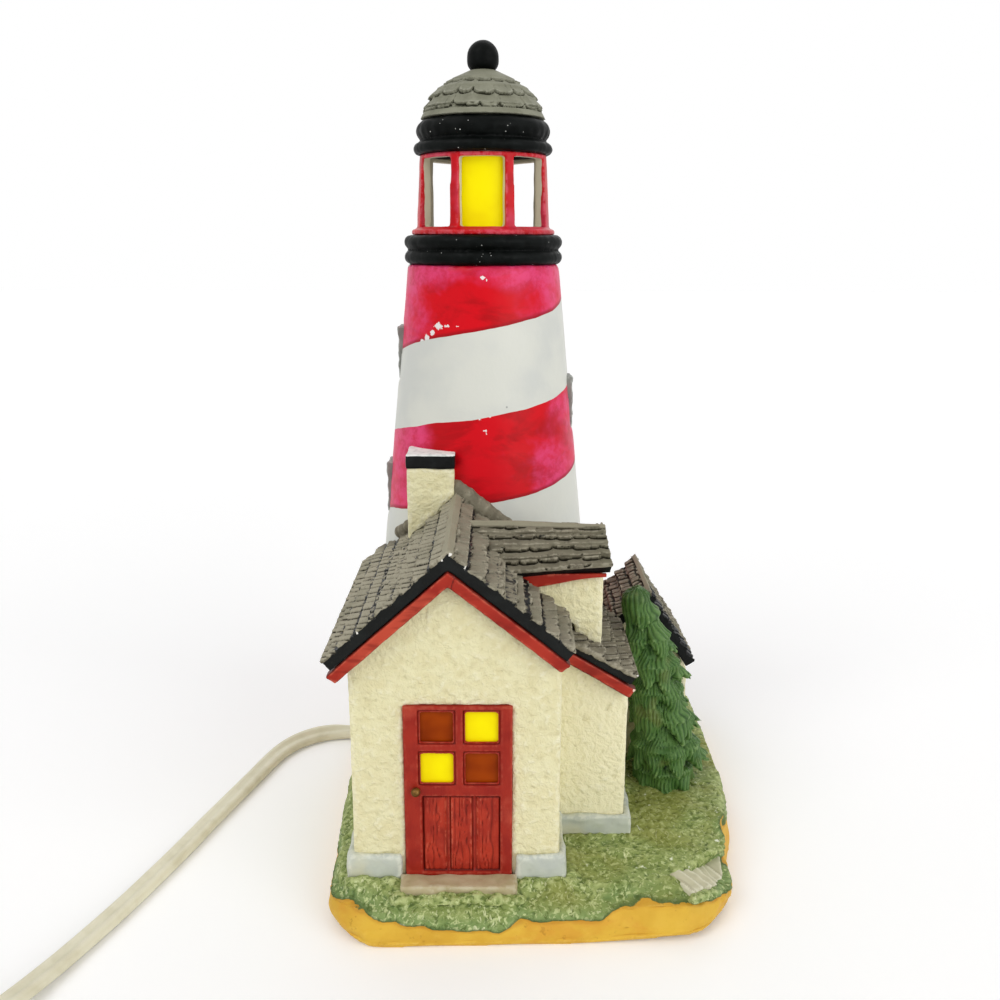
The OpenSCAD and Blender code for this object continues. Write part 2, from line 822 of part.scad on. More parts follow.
module tower_shell() {
    color("#d8d8d2") difference() {
        tower_solid(0, rim_h);
        translate([tower_x, tower_y, 0]) {
            translate([0, 0, rim_h - 1])
                cylinder(h = shelf_z - rim_h + 1, r1 = tower_r(rim_h - 1) - tower_wall,
                    r2 = tower_r(shelf_z) - tower_wall, $fn = round_fn);
            translate([0, 0, shelf_z - 1])
                cylinder(h = shelf_t + 2, r = clip_hole_r, $fn = round_fn);
            translate([0, 0, shelf_z + shelf_t])
                cylinder(h = gallery_z - shelf_z - shelf_t + 1,
                    r1 = tower_r(shelf_z + shelf_t) - tower_wall,
                    r2 = tower_r(gallery_z + 1) - tower_wall, $fn = round_fn);
        }
        block([tower_x - arch_half, tower_y - arch_inside - arch_depth, plinth_top + arch_foot],
            [tower_x + arch_half, tower_y - arch_inside, ridge_z - arch_head]);
        for (at = window_at) window_block(at, frame_w, frame_h, frame_sink, far);
    }
}

module tower_window_frames() {
    color("#8d908b") for (at = window_at) difference() {
        window_block(at, frame_w, frame_h, frame_sink, frame_proud);
        difference() {
            window_block(at, frame_w - 2 * frame_border, frame_h - 2 * frame_border - glazing_sill,
                -pane_depth, far);
            window_block(at, glazing_bar, frame_h, 0, far);
            window_block(at, frame_w, glazing_bar, 0, far);
        }
    }
}

// Lantern

// Points along an arc in a profile
function arc(cx, cz, r, a0, a1, n) =
    [for (i = [0:n]) let (a = a0 + (a1 - a0) * i / n) [cx + r * cos(a), cz + r * sin(a)]];

module gallery_rings() {
    r = ring_t / 2;
    color("#101415") translate([tower_x, tower_y, gallery_z]) rotate_extrude($fn = round_fn)
        polygon(concat([[lantern_bore, 2 * ring_t], [lantern_bore, 0]],
            arc(gallery_r - r, r, r, -90, 84, 9),
            arc(gallery_r - r, 3 * r, r, -84, 90, 9)));
}

module lantern_room() {
    sill = (lantern_h - window_h) / 2 + 0.4;
    color("#c3202c") translate([tower_x, tower_y, lantern_z]) difference() {
        rotate_extrude($fn = round_fn)
            polygon([[lantern_bore, 0], [lantern_r0 + foot_ring, 0],
                [lantern_r0 + foot_ring, foot_ring_h * 0.67], [lantern_r0, foot_ring_h],
                [lantern_r1, lantern_h], [lantern_bore, lantern_h]]);
        for (a = [0, 49, 131, 180, 229, 311]) rotate([0, 0, a - 90])
            translate([0, 0, sill]) linear_extrude(height = window_h)
                polygon([[0, 0], [30, -30 * tan(window_half)], [30, 30 * tan(window_half)]]);
    }
}

module lantern_pane() {
    half = window_half + 4;
    color("#ffe100") translate([tower_x, tower_y, lantern_z + 0.6]) difference() {
        cylinder(h = lantern_h - 1.2, r = lantern_bore - pin_gap, $fn = round_fn);
        translate([0, 0, -1]) cylinder(h = lantern_h + 2, r = lantern_bore - pin_gap - film_t,
            $fn = round_fn);
        rotate([0, 0, -90]) translate([0, 0, -1]) linear_extrude(height = far)
            polygon([[0, 0], [30, 30 * tan(half)], [30, 40], [-40, 40], [-40, -40], [30, -40],
                [30, -30 * tan(half)]]);
    }
}

module dome_rings() {
    low = rim_ring_low / 2;
    high = rim_ring_high / 2;
    color("#101415") translate([tower_x, tower_y, rings_z]) rotate_extrude($fn = round_fn)
        polygon(concat([[lantern_bore - 1.5, rim_ring_low + rim_ring_high],
            [lantern_bore - 1.5, 0]],
            arc(lantern_r1 + 1.7 - low, low, low, -90, 80, 7),
            arc(lantern_r1 + 0.9 - high, rim_ring_low + high, high, -70, 90, 9)));
}

// Each shingle course of the dome: its radius and height as shares of the dome's
dome_course = [[0.985, 0], [0.93, 0.22], [0.85, 0.42], [0.72, 0.62], [0.5, 0.82], [0.24, 1]];

module dome_roof() {
    r = lantern_r1;
    hollow_r = lantern_bore - 1.5;
    outer = [for (i = [0:len(dome_course) - 2]) for (k = [0, 1])
        [r * (dome_course[i + k][0] - 0.03 * k), dome_h * dome_course[i + k][1]]];
    color("#62615a") translate([tower_x, tower_y, dome_z]) rotate_extrude($fn = round_fn)
        polygon(concat([[0, dome_h * 0.74], [0, dome_h]], back(outer),
            [[hollow_r, 0], [hollow_r * 0.92, dome_h * 0.22], [hollow_r * 0.78, dome_h * 0.42],
                [hollow_r * 0.52, dome_h * 0.62]]));
}

module finial_ball() {
    sink = ball_r * 0.79;
    color("#101415") translate([tower_x, tower_y, dome_top + sink]) difference() {
        sphere(r = ball_r, $fn = 48);
        translate([0, 0, -sink - far]) translate([-far / 2, -far / 2, 0]) cube([far, far, far]);
    }
}

// Lampholder and bulb, upright on the tower's axis

module on_axis(z) {
    translate([tower_x, tower_y, z]) children();
}

module lampholder_body() {
    color("#e8e3d3") difference() {
        union() {
            on_axis(shelf_z - flange_t) cylinder(h = flange_t, r = flange_r, $fn = round_fn);
            on_axis(shelf_z - flange_t) cylinder(h = holder_top - shelf_z + flange_t, r = holder_r,
                $fn = round_fn);
        }
        on_axis(shell_floor) cylinder(h = far, r = shell_r + pin_gap, $fn = round_fn);
        on_axis(0) cylinder(h = far, r = contact_r, $fn = 48);
        for (a = [0, 180]) on_axis(0) rotate([0, 0, a])
            block([holder_r - 0.9, -spring_w / 2 - spring_play, shelf_z - flange_t - spring_play],
                [holder_r + 1, spring_w / 2 + spring_play, holder_top - spring_drop + 1]);
    }
}

module lampholder_cap() {
    color("#e8e3d3") difference() {
        on_axis(cap_z) cylinder(h = shelf_z - flange_t - cap_z, r = holder_r, $fn = round_fn);
        on_axis(cap_z + 8) cylinder(h = far, r = holder_r - 2, $fn = round_fn);
    }
}

spring_play = 0.4;
spring_w = 6;
spring_t = 0.5;
spring_drop = 5;
spring_end = 0.8;
knee_out = 1.6;
knee_rise = 2.2;

// Two leaf springs whose knees hold the lampholder in the shelf
module spring_clips() {
    top = shelf_z + shelf_t;
    outer = [[holder_r + run_gap, shelf_z + spring_play], [clip_hole_r - spring_play,
        top + spring_play / 2], [clip_hole_r + knee_out, top + knee_rise],
        [holder_r - spring_play / 2, holder_top - spring_drop],
        [holder_r - spring_play / 2, holder_top - spring_drop + spring_end]];
    color("#b9bcc0") for (a = [0, 180]) on_axis(0) rotate([0, 0, a])
        along_y(-spring_w / 2, spring_w / 2)
            polygon(concat(outer, [for (p = back(outer)) [p[0] - spring_t, p[1]]]));
}

module screw_shell() {
    color("#c9a24a") difference() {
        on_axis(shell_floor) cylinder(h = holder_top - shell_floor - 0.6, r = shell_r,
            $fn = round_fn);
        on_axis(shell_floor + 0.5) cylinder(h = far, r = thread_r, $fn = round_fn);
        on_axis(0) cylinder(h = far, r = 3, $fn = 48);
    }
}

module centre_contact() {
    color("#c9a24a") {
        on_axis(shell_floor - 3) cylinder(h = 3, r = contact_r - pin_gap, $fn = 48);
        on_axis(shell_floor) cylinder(h = base_bottom - shell_floor - run_gap, r = 2.2, $fn = 48);
    }
}

tip_r = 2;
tip_h = 2;
cap_skin = 0.5;

module bulb_base() {
    inner = bulb_base_r - cap_skin;
    color("#c7c9cb") on_axis(base_bottom) rotate_extrude($fn = round_fn)
        polygon([[0, 0], [tip_r, 0], [tip_r * 1.3, tip_h * 0.35], [bulb_base_r, tip_h],
            [bulb_base_r, bulb_base_h], [inner, bulb_base_h], [inner, tip_h * 1.2],
            [tip_r * 1.2, tip_h * 0.6], [0, tip_h * 0.3]]);
}

// The bulb's outline as shares of its radius and length, foot to tip
bulb_outline = [[0.48, 0], [0.52, 0.05], [0.72, 0.16], [0.9, 0.27], [0.99, 0.38], [1, 0.46],
    [0.96, 0.56], [0.84, 0.7], [0.66, 0.82], [0.44, 0.92], [0.2, 0.98], [0, 1]];
glass_t = 0.6;

module bulb_glass() {
    outer = [for (p = bulb_outline) [p[0] * bulb_r, p[1] * glass_len]];
    inner = [for (p = bulb_outline) [p[0] * (bulb_r - glass_t), p[1] * (glass_len - glass_t)]];
    color([1, 0.95, 0.85, 0.5]) on_axis(glass_foot) rotate_extrude($fn = round_fn)
        polygon(concat(outer, back(inner)));
}

stem_r = 2;
stem_z = 1.3;
stem_top = 12.6;
wire_r = 0.25;
wire_out = 1.4;
coil_above = 17;
filament_len = 8;
filament_r = 0.45;

module bulb_filament() {
    color("#8e8e8e") on_axis(base_bottom) {
        translate([0, 0, stem_z]) cylinder(h = stem_top - stem_z, r = stem_r, $fn = 24);
        for (x = [-1, 1]) translate([x * wire_out, 0, stem_top])
            cylinder(h = coil_above, r = wire_r, $fn = 16);
        translate([-filament_len / 2, 0, stem_top + coil_above]) rotate([0, 90, 0])
            cylinder(h = filament_len, r = filament_r, $fn = 16);
    }
}

// Cord

// A flat section lying down, and the same on edge, as shares of width and thickness
flat8 = [[0.5, 0.18], [0.34, 0.5], [-0.34, 0.5], [-0.5, 0.18], [-0.5, -0.18], [-0.34, -0.5],
    [0.34, -0.5], [0.5, -0.18]];
edge6 = [[0, 0.5], [-0.5, 0.3], [-0.5, -0.3], [0, -0.5], [0.5, -0.3], [0.5, 0.3]];

function unit(v) = v / norm(v);
function heading(p, i) = unit(p[min(i + 1, len(p) - 1)] - p[max(i - 1, 0)]);

// One ring of a tube: a section of size w by t, turned by roll, square to the route
function ring(p, i, section, w, t, roll) =
    let (h = heading(p, i), side = unit(cross(h, [0, 0, 1])), up = cross(side, h))
    [for (q = section) let (a = q[0] * w, b = q[1] * t)
        p[i] + side * (a * cos(roll) - b * sin(roll)) + up * (a * sin(roll) + b * cos(roll))];

// A tube through points, one ring at each
module tube(p, section, w, t, rolls) {
    m = len(section);
    n = len(p);
    points = [for (i = [0:n - 1]) each ring(p, i, section, w, t, rolls[i])];
    sides = [for (i = [0:n - 2]) for (k = [0:m - 1])
        let (a = i * m + k, b = i * m + (k + 1) % m) each [[a, a + m, b], [b, a + m, b + m]]];
    first = [for (k = [1:m - 2]) [0, k, k + 1]];
    last = [for (k = [1:m - 2]) [(n - 1) * m, (n - 1) * m + k + 1, (n - 1) * m + k]];
    polyhedron(points = points, faces = concat(sides, first, last), convexity = 6);
}

// The switch lies straight on the cord's way, and the coil beyond it
switch_x = -115;
switch_ahead = 124;
switch_y1 = tower_y - switch_ahead;
switch_y0 = switch_y1 - switch_len;
switch_mid_z = 0.2 + switch_h / 2;
coil_ahead = 197;
coil_y = tower_y - coil_ahead;
coil_turns = 8.25;
turns_low = 4.5;
coil_out = coil_in + coil_pitch * turns_low;
coil_x = switch_x + coil_out;
layer_h = cord_w + 0.6;
coil_z = 1.2 + cord_w / 2;

// The cord from the lampholder to the switch: X, Y from the tower's axis, Z and roll
lamp_route = [[-26.6, 4.4, 5, 0], [-31, 6.1, 4.9, 0], [-36, 8, 4, 0], [-41, 9.9, 2.6, 0],
    [-46, 11.6, 1.9, 0], [-52, 13.1, 1.9, 0], [-56.5, 13.8, 1.9, 0], [-60.5, 14, 2, -12],
    [-64.5, 13.3, 2.2, -24], [-68.3, 11.8, 2.3, -28], [-71.9, 9.4, 2.3, -26],
    [-75.2, 6.2, 2.2, -20], [-78, 2.1, 2, -12], [-80.2, -3, 1.8, -5], [-83.4, -14, 1.7, 0],
    [-86.8, -26, 1.7, 0], [-90.2, -38, 1.7, 0], [-93.4, -50, 1.7, 0], [-96.6, -61, 1.7, 0],
    [-100, -72, 1.7, 0], [-103.4, -82, 1.8, 0], [-107, -92, 2, 0], [-110.2, -101, 2.6, 0],
    [-112.6, -108, 3.4, 0], [-114.2, -114, 4.2, 0], [-115, -119, 4.6, 0], [-115, -124, 4.7, 0]];

// From the switch to the coil
switch_route = [[-115, -166, 4.7, 0], [-115, -171, 4.6, 0], [-115, -176, 4.4, 25],
    [-115, -181, 4.2, 50], [-115, -186, 4, 75], [-115, -191.5, 3.95, 90],
    [-115, -196.85, 3.95, 90]];

// From the coil to the plug
plug_route = [[-76.6, -232.6, 10.05, 90], [-71, -232.6, 10.05, 90], [-65, -232.6, 10, 80],
    [-59, -232.6, 9.6, 55], [-53, -232.6, 8.7, 30], [-47, -232.6, 7.6, 10],
    [-41, -232.6, 6.6, 0], [-35, -232.6, 6.1, 0], [-30, -232.6, 6, 0]];

function xyz(route) = [for (q = route) [q[0], tower_y + q[1], q[2]]];
function roll(route) = [for (q = route) q[3]];

module cord_route(route) {
    color("#d8d2b4") tube(xyz(route), flat8, cord_w, cord_t, roll(route));
}

module cord_lamp_side() {
    cord_route(lamp_route);
}

module cord_switch_side() {
    cord_route(switch_route);
}

module cord_plug_side() {
    cord_route(plug_route);
}

// The coil's radius and height after t turns: it spirals in, climbs, and spirals out
function coil_r(t) = coil_in + coil_pitch * abs(turns_low - t);
function climb(t) = min(1, max(0, (t - turns_low + 0.25) / 0.5));
function coil_point(t) =
    let (a = 180 + 360 * t, r = coil_r(t), s = climb(t))
    [coil_x + r * cos(a), coil_y + r * sin(a), coil_z + layer_h * s * s * (3 - 2 * s)];

coil_rings = 24 * coil_turns;
coil_path = [for (i = [0:coil_rings]) coil_point(i / 24)];
coil_skin = [for (i = [0:coil_rings]) ring(coil_path, i, edge6, cord_t, cord_w, 0)];

// The least distance between the coil's neighbouring turns, over the points of its rings
function ring_gap(a, b) = min([for (p = a) for (q = b) norm(p - q)]);
coil_gap = min([for (i = [0:coil_rings]) for (turn = [24:24:coil_rings]) for (k = [-1:1])
    let (j = i + turn + k) if (j <= coil_rings) ring_gap(coil_skin[i], coil_skin[j])]);
layer_gap = min([for (i = [0:coil_rings]) let (j = 2 * 24 * turns_low - i)
    if (j > i + 12 && j <= coil_rings) ring_gap(coil_skin[i], coil_skin[j])]);

module cord_coil() {
    echo(least_gap_between_turns = coil_gap, least_gap_between_layers = layer_gap);
    color("#d8d2b4") tube(coil_path, edge6, cord_t, cord_w,
        [for (i = [0:coil_rings]) 0]);
}

// A band round the bundle of turns, at the coil's back
module coil_tie() {
    strap = 0.8;
    gap = 0.35;
    r0 = coil_in - cord_t / 2 - gap;
    r1 = coil_out + cord_t / 2 + gap;
    z0 = coil_z - cord_w / 2 - gap;
    z1 = coil_z + layer_h + cord_w / 2 + gap;
    color("#f2f2ee") translate([coil_x, coil_y, 0]) rotate([0, 0, 90]) along_y(-2, 2)
        difference() {
            polygon([[r0 - strap, z0 - strap], [r1 + strap, z0 - strap],
                [r1 + strap, z1 + strap], [r0 - strap, z1 + strap]]);
            polygon([[r0, z0], [r1, z0], [r1, z1], [r0, z1]]);
        }
}

// Switch

wheel_t = 3;
post_r = 2;

// The outline of the switch's housing
module switch_outline() {
    x = switch_w / 2;
    y = switch_len / 2;
    polygon([[x, -y * 0.35], [x, y * 0.35], [x * 0.62, y], [-x * 0.62, y], [-x, y * 0.35],
        [-x, -y * 0.35], [-x * 0.62, -y], [x * 0.62, -y]]);
}

module at_switch(z) {
    translate([switch_x, (switch_y0 + switch_y1) / 2, z]) children();
}

// The slot that the wheel turns in
module wheel_slot() {
    at_switch(switch_mid_z) cylinder(h = wheel_t + 2 * run_gap, r = wheel_d / 2 + run_gap,
        center = true, $fn = round_fn);
}

module switch_lower_shell() {
    color("#e6e0cc") {
        difference() {
            at_switch(0.2) linear_extrude(height = switch_h / 2) switch_outline();
            wheel_slot();
            switch_screw_holes(1.25);
        }
        at_switch(switch_mid_z - wheel_t / 2 - run_gap - eps)
            cylinder(h = wheel_t + 2 * run_gap - 0.1, r = post_r, $fn = 48);
    }
}

module switch_upper_shell() {
    color("#e6e0cc") difference() {
        at_switch(switch_mid_z) linear_extrude(height = switch_h / 2) switch_outline();
        wheel_slot();
        switch_screw_holes(1.25);
        for (y = [-1, 1]) at_switch(0.2 + switch_h - 1.2) translate([0, y * 15.5, 0])
            cylinder(h = 5, r = 2.3, $fn = 48);
    }
}

module switch_screw_holes(r) {
    for (y = [-1, 1]) at_switch(2) translate([0, y * 15.5, 0])
        cylinder(h = far, r = r, $fn = 48);
}

module switch_screws() {
    color("#b9bcc0") for (y = [-1, 1]) {
        at_switch(2) translate([0, y * 15.5, 0])
            cylinder(h = switch_h - 3, r = 1.25, $fn = 48);
        at_switch(0.2 + switch_h - 1.2) translate([0, y * 15.5, 0]) difference() {
            cylinder(h = 1.1, r = 2.2, $fn = 48);
            translate([-3, -0.3, 0.6]) cube([6, 0.6, 1]);
        }
    }
}

module switch_wheel() {
    ribs = 24;
    color("#d9d2ba") difference() {
        at_switch(switch_mid_z) cylinder(h = wheel_t, r = wheel_d / 2, center = true,
            $fn = round_fn);
        at_switch(0) cylinder(h = far, r = post_r + pin_gap, $fn = 48);
        for (i = [0:ribs - 1]) at_switch(0) rotate([0, 0, i * 360 / ribs])
            translate([wheel_d / 2 + 0.15, 0, 0]) cylinder(h = far, r = 0.6, $fn = 16);
    }
}

// Plug

plug_x0 = -30;
plug_len = 24;
plug_w = 23;
plug_h = 11.6;
plug_ahead = 232.6;
plug_y = tower_y - plug_ahead;

module plug_body() {
    color("#d8d2b4") translate([plug_x0, plug_y, 0.2]) union() {
        along_x(0, 10) polygon([[-5, 2.4], [-4, 1.4], [4, 1.4], [5, 2.4], [5, 9.2], [4, 10.2],
            [-4, 10.2], [-5, 9.2]]);
        along_x(10, plug_len) polygon([[-plug_w / 2, 2], [-plug_w / 2 + 2, 0],
            [plug_w / 2 - 2, 0], [plug_w / 2, 2], [plug_w / 2, plug_h - 2],
            [plug_w / 2 - 2, plug_h], [-plug_w / 2 + 2, plug_h], [-plug_w / 2, plug_h - 2]]);
    }
}

module plug_blades() {
    color("#b9bcc0") for (y = [-1, 1])
        translate([plug_x0 + plug_len, plug_y + y * blade_gap / 2 - 0.75,
            0.2 + plug_h / 2 - 3.2]) cube([blade_len, 1.5, 6.4]);
}

sand_base();
grass_mound();
stone_steps();
doorstep();
cottage_plinth();
cottage_walls();
door();
door_knob();
yellow_door_panes();
amber_door_panes();
cottage_bargeboard();
cottage_roof();
wing_plinth();
wing_walls();
wing_bargeboard();
wing_roof();
dormer_walls();
dormer_fascia();
dormer_roof();
chimney();
chimney_cap();
rear_house_walls();
rear_house_roof();
fir_tree();
tower_shell();
tower_window_frames();
gallery_rings();
lantern_room();
lantern_pane();
dome_rings();
dome_roof();
finial_ball();
lampholder_body();
lampholder_cap();
spring_clips();
screw_shell();
centre_contact();
bulb_glass();
bulb_base();
bulb_filament();
cord_lamp_side();
cord_switch_side();
cord_coil();
cord_plug_side();
coil_tie();
switch_lower_shell();
switch_upper_shell();
switch_wheel();
switch_screws();
plug_body();
plug_blades();
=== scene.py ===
import bisect
import math
import random

import bmesh
import bpy
import numpy as np
from mathutils import Matrix, Vector, noise


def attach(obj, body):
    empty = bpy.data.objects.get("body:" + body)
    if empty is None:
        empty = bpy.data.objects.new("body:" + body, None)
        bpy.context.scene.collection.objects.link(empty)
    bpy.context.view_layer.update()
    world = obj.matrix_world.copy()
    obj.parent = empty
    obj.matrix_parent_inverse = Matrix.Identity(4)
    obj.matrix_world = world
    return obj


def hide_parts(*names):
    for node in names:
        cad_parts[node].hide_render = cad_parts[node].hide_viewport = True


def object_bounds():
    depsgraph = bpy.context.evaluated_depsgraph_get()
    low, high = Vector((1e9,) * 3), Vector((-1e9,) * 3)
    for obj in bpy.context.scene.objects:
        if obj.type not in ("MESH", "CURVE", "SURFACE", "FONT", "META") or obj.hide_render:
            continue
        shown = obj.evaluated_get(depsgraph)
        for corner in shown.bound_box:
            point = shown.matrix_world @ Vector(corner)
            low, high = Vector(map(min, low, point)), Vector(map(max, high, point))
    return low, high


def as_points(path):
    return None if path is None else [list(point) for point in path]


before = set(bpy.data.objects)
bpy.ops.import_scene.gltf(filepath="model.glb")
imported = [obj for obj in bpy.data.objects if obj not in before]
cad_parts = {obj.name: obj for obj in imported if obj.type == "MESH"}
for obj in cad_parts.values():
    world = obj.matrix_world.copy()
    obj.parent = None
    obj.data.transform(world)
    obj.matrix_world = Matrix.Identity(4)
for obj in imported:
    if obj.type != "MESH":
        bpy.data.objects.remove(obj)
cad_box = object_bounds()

MM = 0.001
scene = bpy.context.scene
scene.view_settings.view_transform = "Standard"

# Places on the lamp. They are in millimetres and degrees, as in the part's source.
TOWER = (-14.9, 24.0)
GROUND_Z, GALLERY_Z, DOME_TOP = 12.5, 150.6, 199.9
FOOT_RADIUS, GALLERY_RADIUS = 34.6, 20.3
RIDGE_X, RIDGE_Z, ROOF_PITCH, GABLE_Y = -21.5, 92.6, 42.0, -53.5
WING_RIDGE_X, WING_RIDGE_Z, WING_PITCH = 3.5, 67.8, 33.4
DORMER_Y, DORMER_Z, DORMER_PITCH = -20, 90, 36
REAR_RIDGE_X, REAR_RIDGE_Z, REAR_PITCHES = 30.8, 64.8, (42, 57)
REAR_HOUSE_X, TREE_Y = 10, -8
STEPS_AT, STEPS_TURN, TREAD = (35.0, -56.5), 35, 3.1
PLANKS = ((-27.9, -22.4), (-21.8, -16.3), (-15.7, -10.2))
PLANK_FOOT, PLANK_TOP, PANE = 14.5, 32.4, 7.5
SEAM_Z = 4.0
STRIPE_FOOT, STRIPE_STEP, STRIPE_CLIMB, RED_WIDTH = 89.4, 45.0, 45.4, 22.7

# Knots in the door's planks: x, z
KNOTS = ((-24.6, 27.5), (-26.2, 18.2), (-18.3, 24.2), (-19.6, 17.0), (-13.2, 28.6),
         (-12.6, 19.4), (-17.6, 31.0), (-24.0, 21.8))

# Chips in the paint: x, y, z and radius
COTTAGE_CHIPS = ((-20.9, -53.5, 91.6, 0.7), (-22.7, -53.5, 90.4, 0.5), (-17.3, -53.5, 88.4, 0.8),
                 (-33.8, -53.5, 80.8, 0.5), (-41.7, -53.5, 73.6, 0.7), (8.0, -53.5, 64.6, 0.8))
BOARD_CHIPS = {
    "cottage_bargeboard": ((5.0, -53.4, 65.0, 0.9), (5.0, -53.4, 67.2, 0.7),
                           (-48.6, -53.4, 64.6, 0.8)),
    "wing_bargeboard": ((22.4, -36, 51.8, 0.8),),
    "dormer_fascia": ((-5.7, -30.2, 78.6, 0.9), (-5.7, -30.2, 77.2, 0.8))}
TOWER_CHIPS = ((-26.2, 5.2, 135.3, 1.6), (-23.8, 4.0, 135.4, 1.0), (-21.0, 3.1, 135.5, 0.9),
               (-28.0, 6.2, 133.4, 1.2), (-29.3, 7.0, 131.9, 1.5), (-30.6, 8.0, 130.6, 1.6),
               (-24.6, 4.4, 132.8, 0.9), (-13.8, 3.4, 147.1, 0.9), (-14.9, 3.4, 147.8, 0.8),
               (-14.1, -0.7, 108.3, 1.1), (-12.8, -0.1, 112.6, 0.9), (-15.4, -0.3, 111.8, 0.9),
               (3.6, 14.4, 137.6, 0.7), (-4.4, -0.2, 99.6, 0.7))

# The line between sand and grass: degrees round the bank from its front, and height
SAND_LINE = ((-180, 6.5), (-150, 7.6), (-120, 6.2), (-95, 8), (-70, 7), (-55, 8.4), (-42.7, 7.7),
             (-38.5, 8.7), (-34.4, 8.0), (-30.9, 6.4), (-25.9, 5.6), (-19.9, 4.4), (-9.3, 3.9),
             (-4.9, 6.3), (3.6, 5.7), (12.2, 5.8), (17.1, 8.1), (24.4, 8.8), (32, 7.8),
             (38.7, 7.5), (43.6, 6.4), (48, 7.5), (56, 9.4), (66, 9.0), (85, 6.8), (105, 7.8),
             (130, 6.2), (155, 7.5), (180, 6.5))

# Turf against the plinths and the door slab: from, to and how high it rises
TURF_RUNS = (((-45, -53), (-36, -53), 0.8), ((-46.8, -50), (-46.8, 0), 0.4),
             ((-3.8, -53.4), (6.4, -53), 0.9), ((6.6, -50), (6.6, -37), 0.9),
             ((8, -35.4), (22.5, -35.4), 0.1), ((23.8, -33), (23.8, 2), 0.4),
             ((22, 3.2), (44, 3.2), 0.4), ((43.8, 5), (43.8, 30), 0.4),
             ((-33, -57.4), (-6, -57.4), -1.2))
FRONT_CORNER = ((46, -46), (45.4, -48.4), (44, -50.6), (42, -52.6), (39.6, -54))

# The tree's tiers from the ground up: foot, top, reach right and left, and the trunk's x
BOUGHS = ((10.4, 22.5, 9.4, 9.9, 34.8), (17.4, 31.0, 11.2, 10.6, 34.6),
          (26.6, 39.5, 9.2, 9.4, 33.4), (33.4, 46.0, 8.2, 8.2, 32.2),
          (41.0, 53.0, 7.6, 7.8, 31.0), (48.6, 60.4, 6.4, 6.9, 29.6),
          (56.0, 66.0, 4.4, 4.9, 27.7), (60.4, 68.2, 3.2, 3.7, 26.2))
TIPS = ((48.0, 18.6), (45.7, 28.8), (41.7, 35.2), (42.0, 42.6), (38.2, 50.2), (32.6, 59.6))

# The flat cord's width and height, and its routes: x, y, z and roll
FLAT_CORD = (5.5, 2.8)
LAMP_ROUTE = [
    (-26.6, 28.4, 5, 0), (-31, 30.1, 4.9, 0), (-36, 32, 4, 0), (-41, 33.9, 2.6, 0),
    (-46, 35.6, 1.9, 0), (-52, 37.1, 1.9, 0), (-56.5, 37.8, 1.9, 0), (-60.5, 38, 2, -12),
    (-64.5, 37.3, 2.2, -24), (-68.3, 35.8, 2.3, -28), (-71.9, 33.4, 2.3, -26),
    (-75.2, 30.2, 2.2, -20), (-78, 26.1, 2, -12), (-80.2, 21, 1.8, -5), (-83.4, 10, 1.7, 0),
    (-86.8, -2, 1.7, 0), (-90.2, -14, 1.7, 0), (-93.4, -26, 1.7, 0), (-96.6, -37, 1.7, 0),
    (-100, -48, 1.7, 0), (-103.4, -58, 1.8, 0), (-107, -68, 2, 0), (-110.2, -77, 2.6, 0),
    (-112.6, -84, 3.4, 0), (-114.2, -90, 4.2, 0), (-115, -95, 4.6, 0), (-115, -100, 4.7, 0)]
SWITCH_ROUTE = [
    (-115, -142, 4.7, 0), (-115, -147, 4.6, 0), (-115, -152, 4.4, 25), (-115, -157, 4.2, 50),
    (-115, -162, 4, 75), (-115, -167.5, 3.95, 90)]
PLUG_ROUTE = [
    (-71, -208.6, 10.05, 90), (-65, -208.6, 10, 80), (-59, -208.6, 9.6, 55),
    (-53, -208.6, 8.7, 30), (-47, -208.6, 7.6, 10), (-41, -208.6, 6.6, 0),
    (-35, -208.6, 6.1, 0), (-30, -208.6, 6, 0)]


def tower_radius(z):
    """The radius of the tower's wall at a height."""
    taper = (FOOT_RADIUS - GALLERY_RADIUS) / (GALLERY_Z - GROUND_Z)
    return FOOT_RADIUS - taper * (z - GROUND_Z)


def soft_step(value, low, high):
    """0 up to low, 1 from high, and smooth between; low may be the larger."""
    share = min(1.0, max(0.0, (value - low) / (high - low)))
    return share * share * (3 - 2 * share)


def cloud(place, size, seed=0.0):
    """Smooth noise from -1 to 1 with lumps of about size millimetres."""
    return noise.noise(Vector(place) / size + Vector((seed, seed * 1.7, seed * 0.6)))


# Finishes


def ink(red, green, blue):
    """A colour as seen, 0 to 255, turned into light."""
    return tuple(c / 255 / 12.92 if c < 10.3 else ((c / 255 + 0.055) / 1.055) ** 2.4
                 for c in (red, green, blue))


class Value:
    """One output in a finish, so that its maths reads as plain sums."""

    def __init__(self, paint, socket):
        self.paint = paint
        self.socket = socket

    def worked(self, operation, first, second=0.0):
        return self.paint.add("ShaderNodeMath", {"operation": operation}, {0: first, 1: second})

    def __add__(self, other):
        return self.worked("ADD", self, other)

    def __sub__(self, other):
        return self.worked("SUBTRACT", self, other)

    def __rsub__(self, other):
        return self.worked("SUBTRACT", other, self)

    def __mul__(self, other):
        return self.worked("MULTIPLY", self, other)

    __radd__ = __add__
    __rmul__ = __mul__


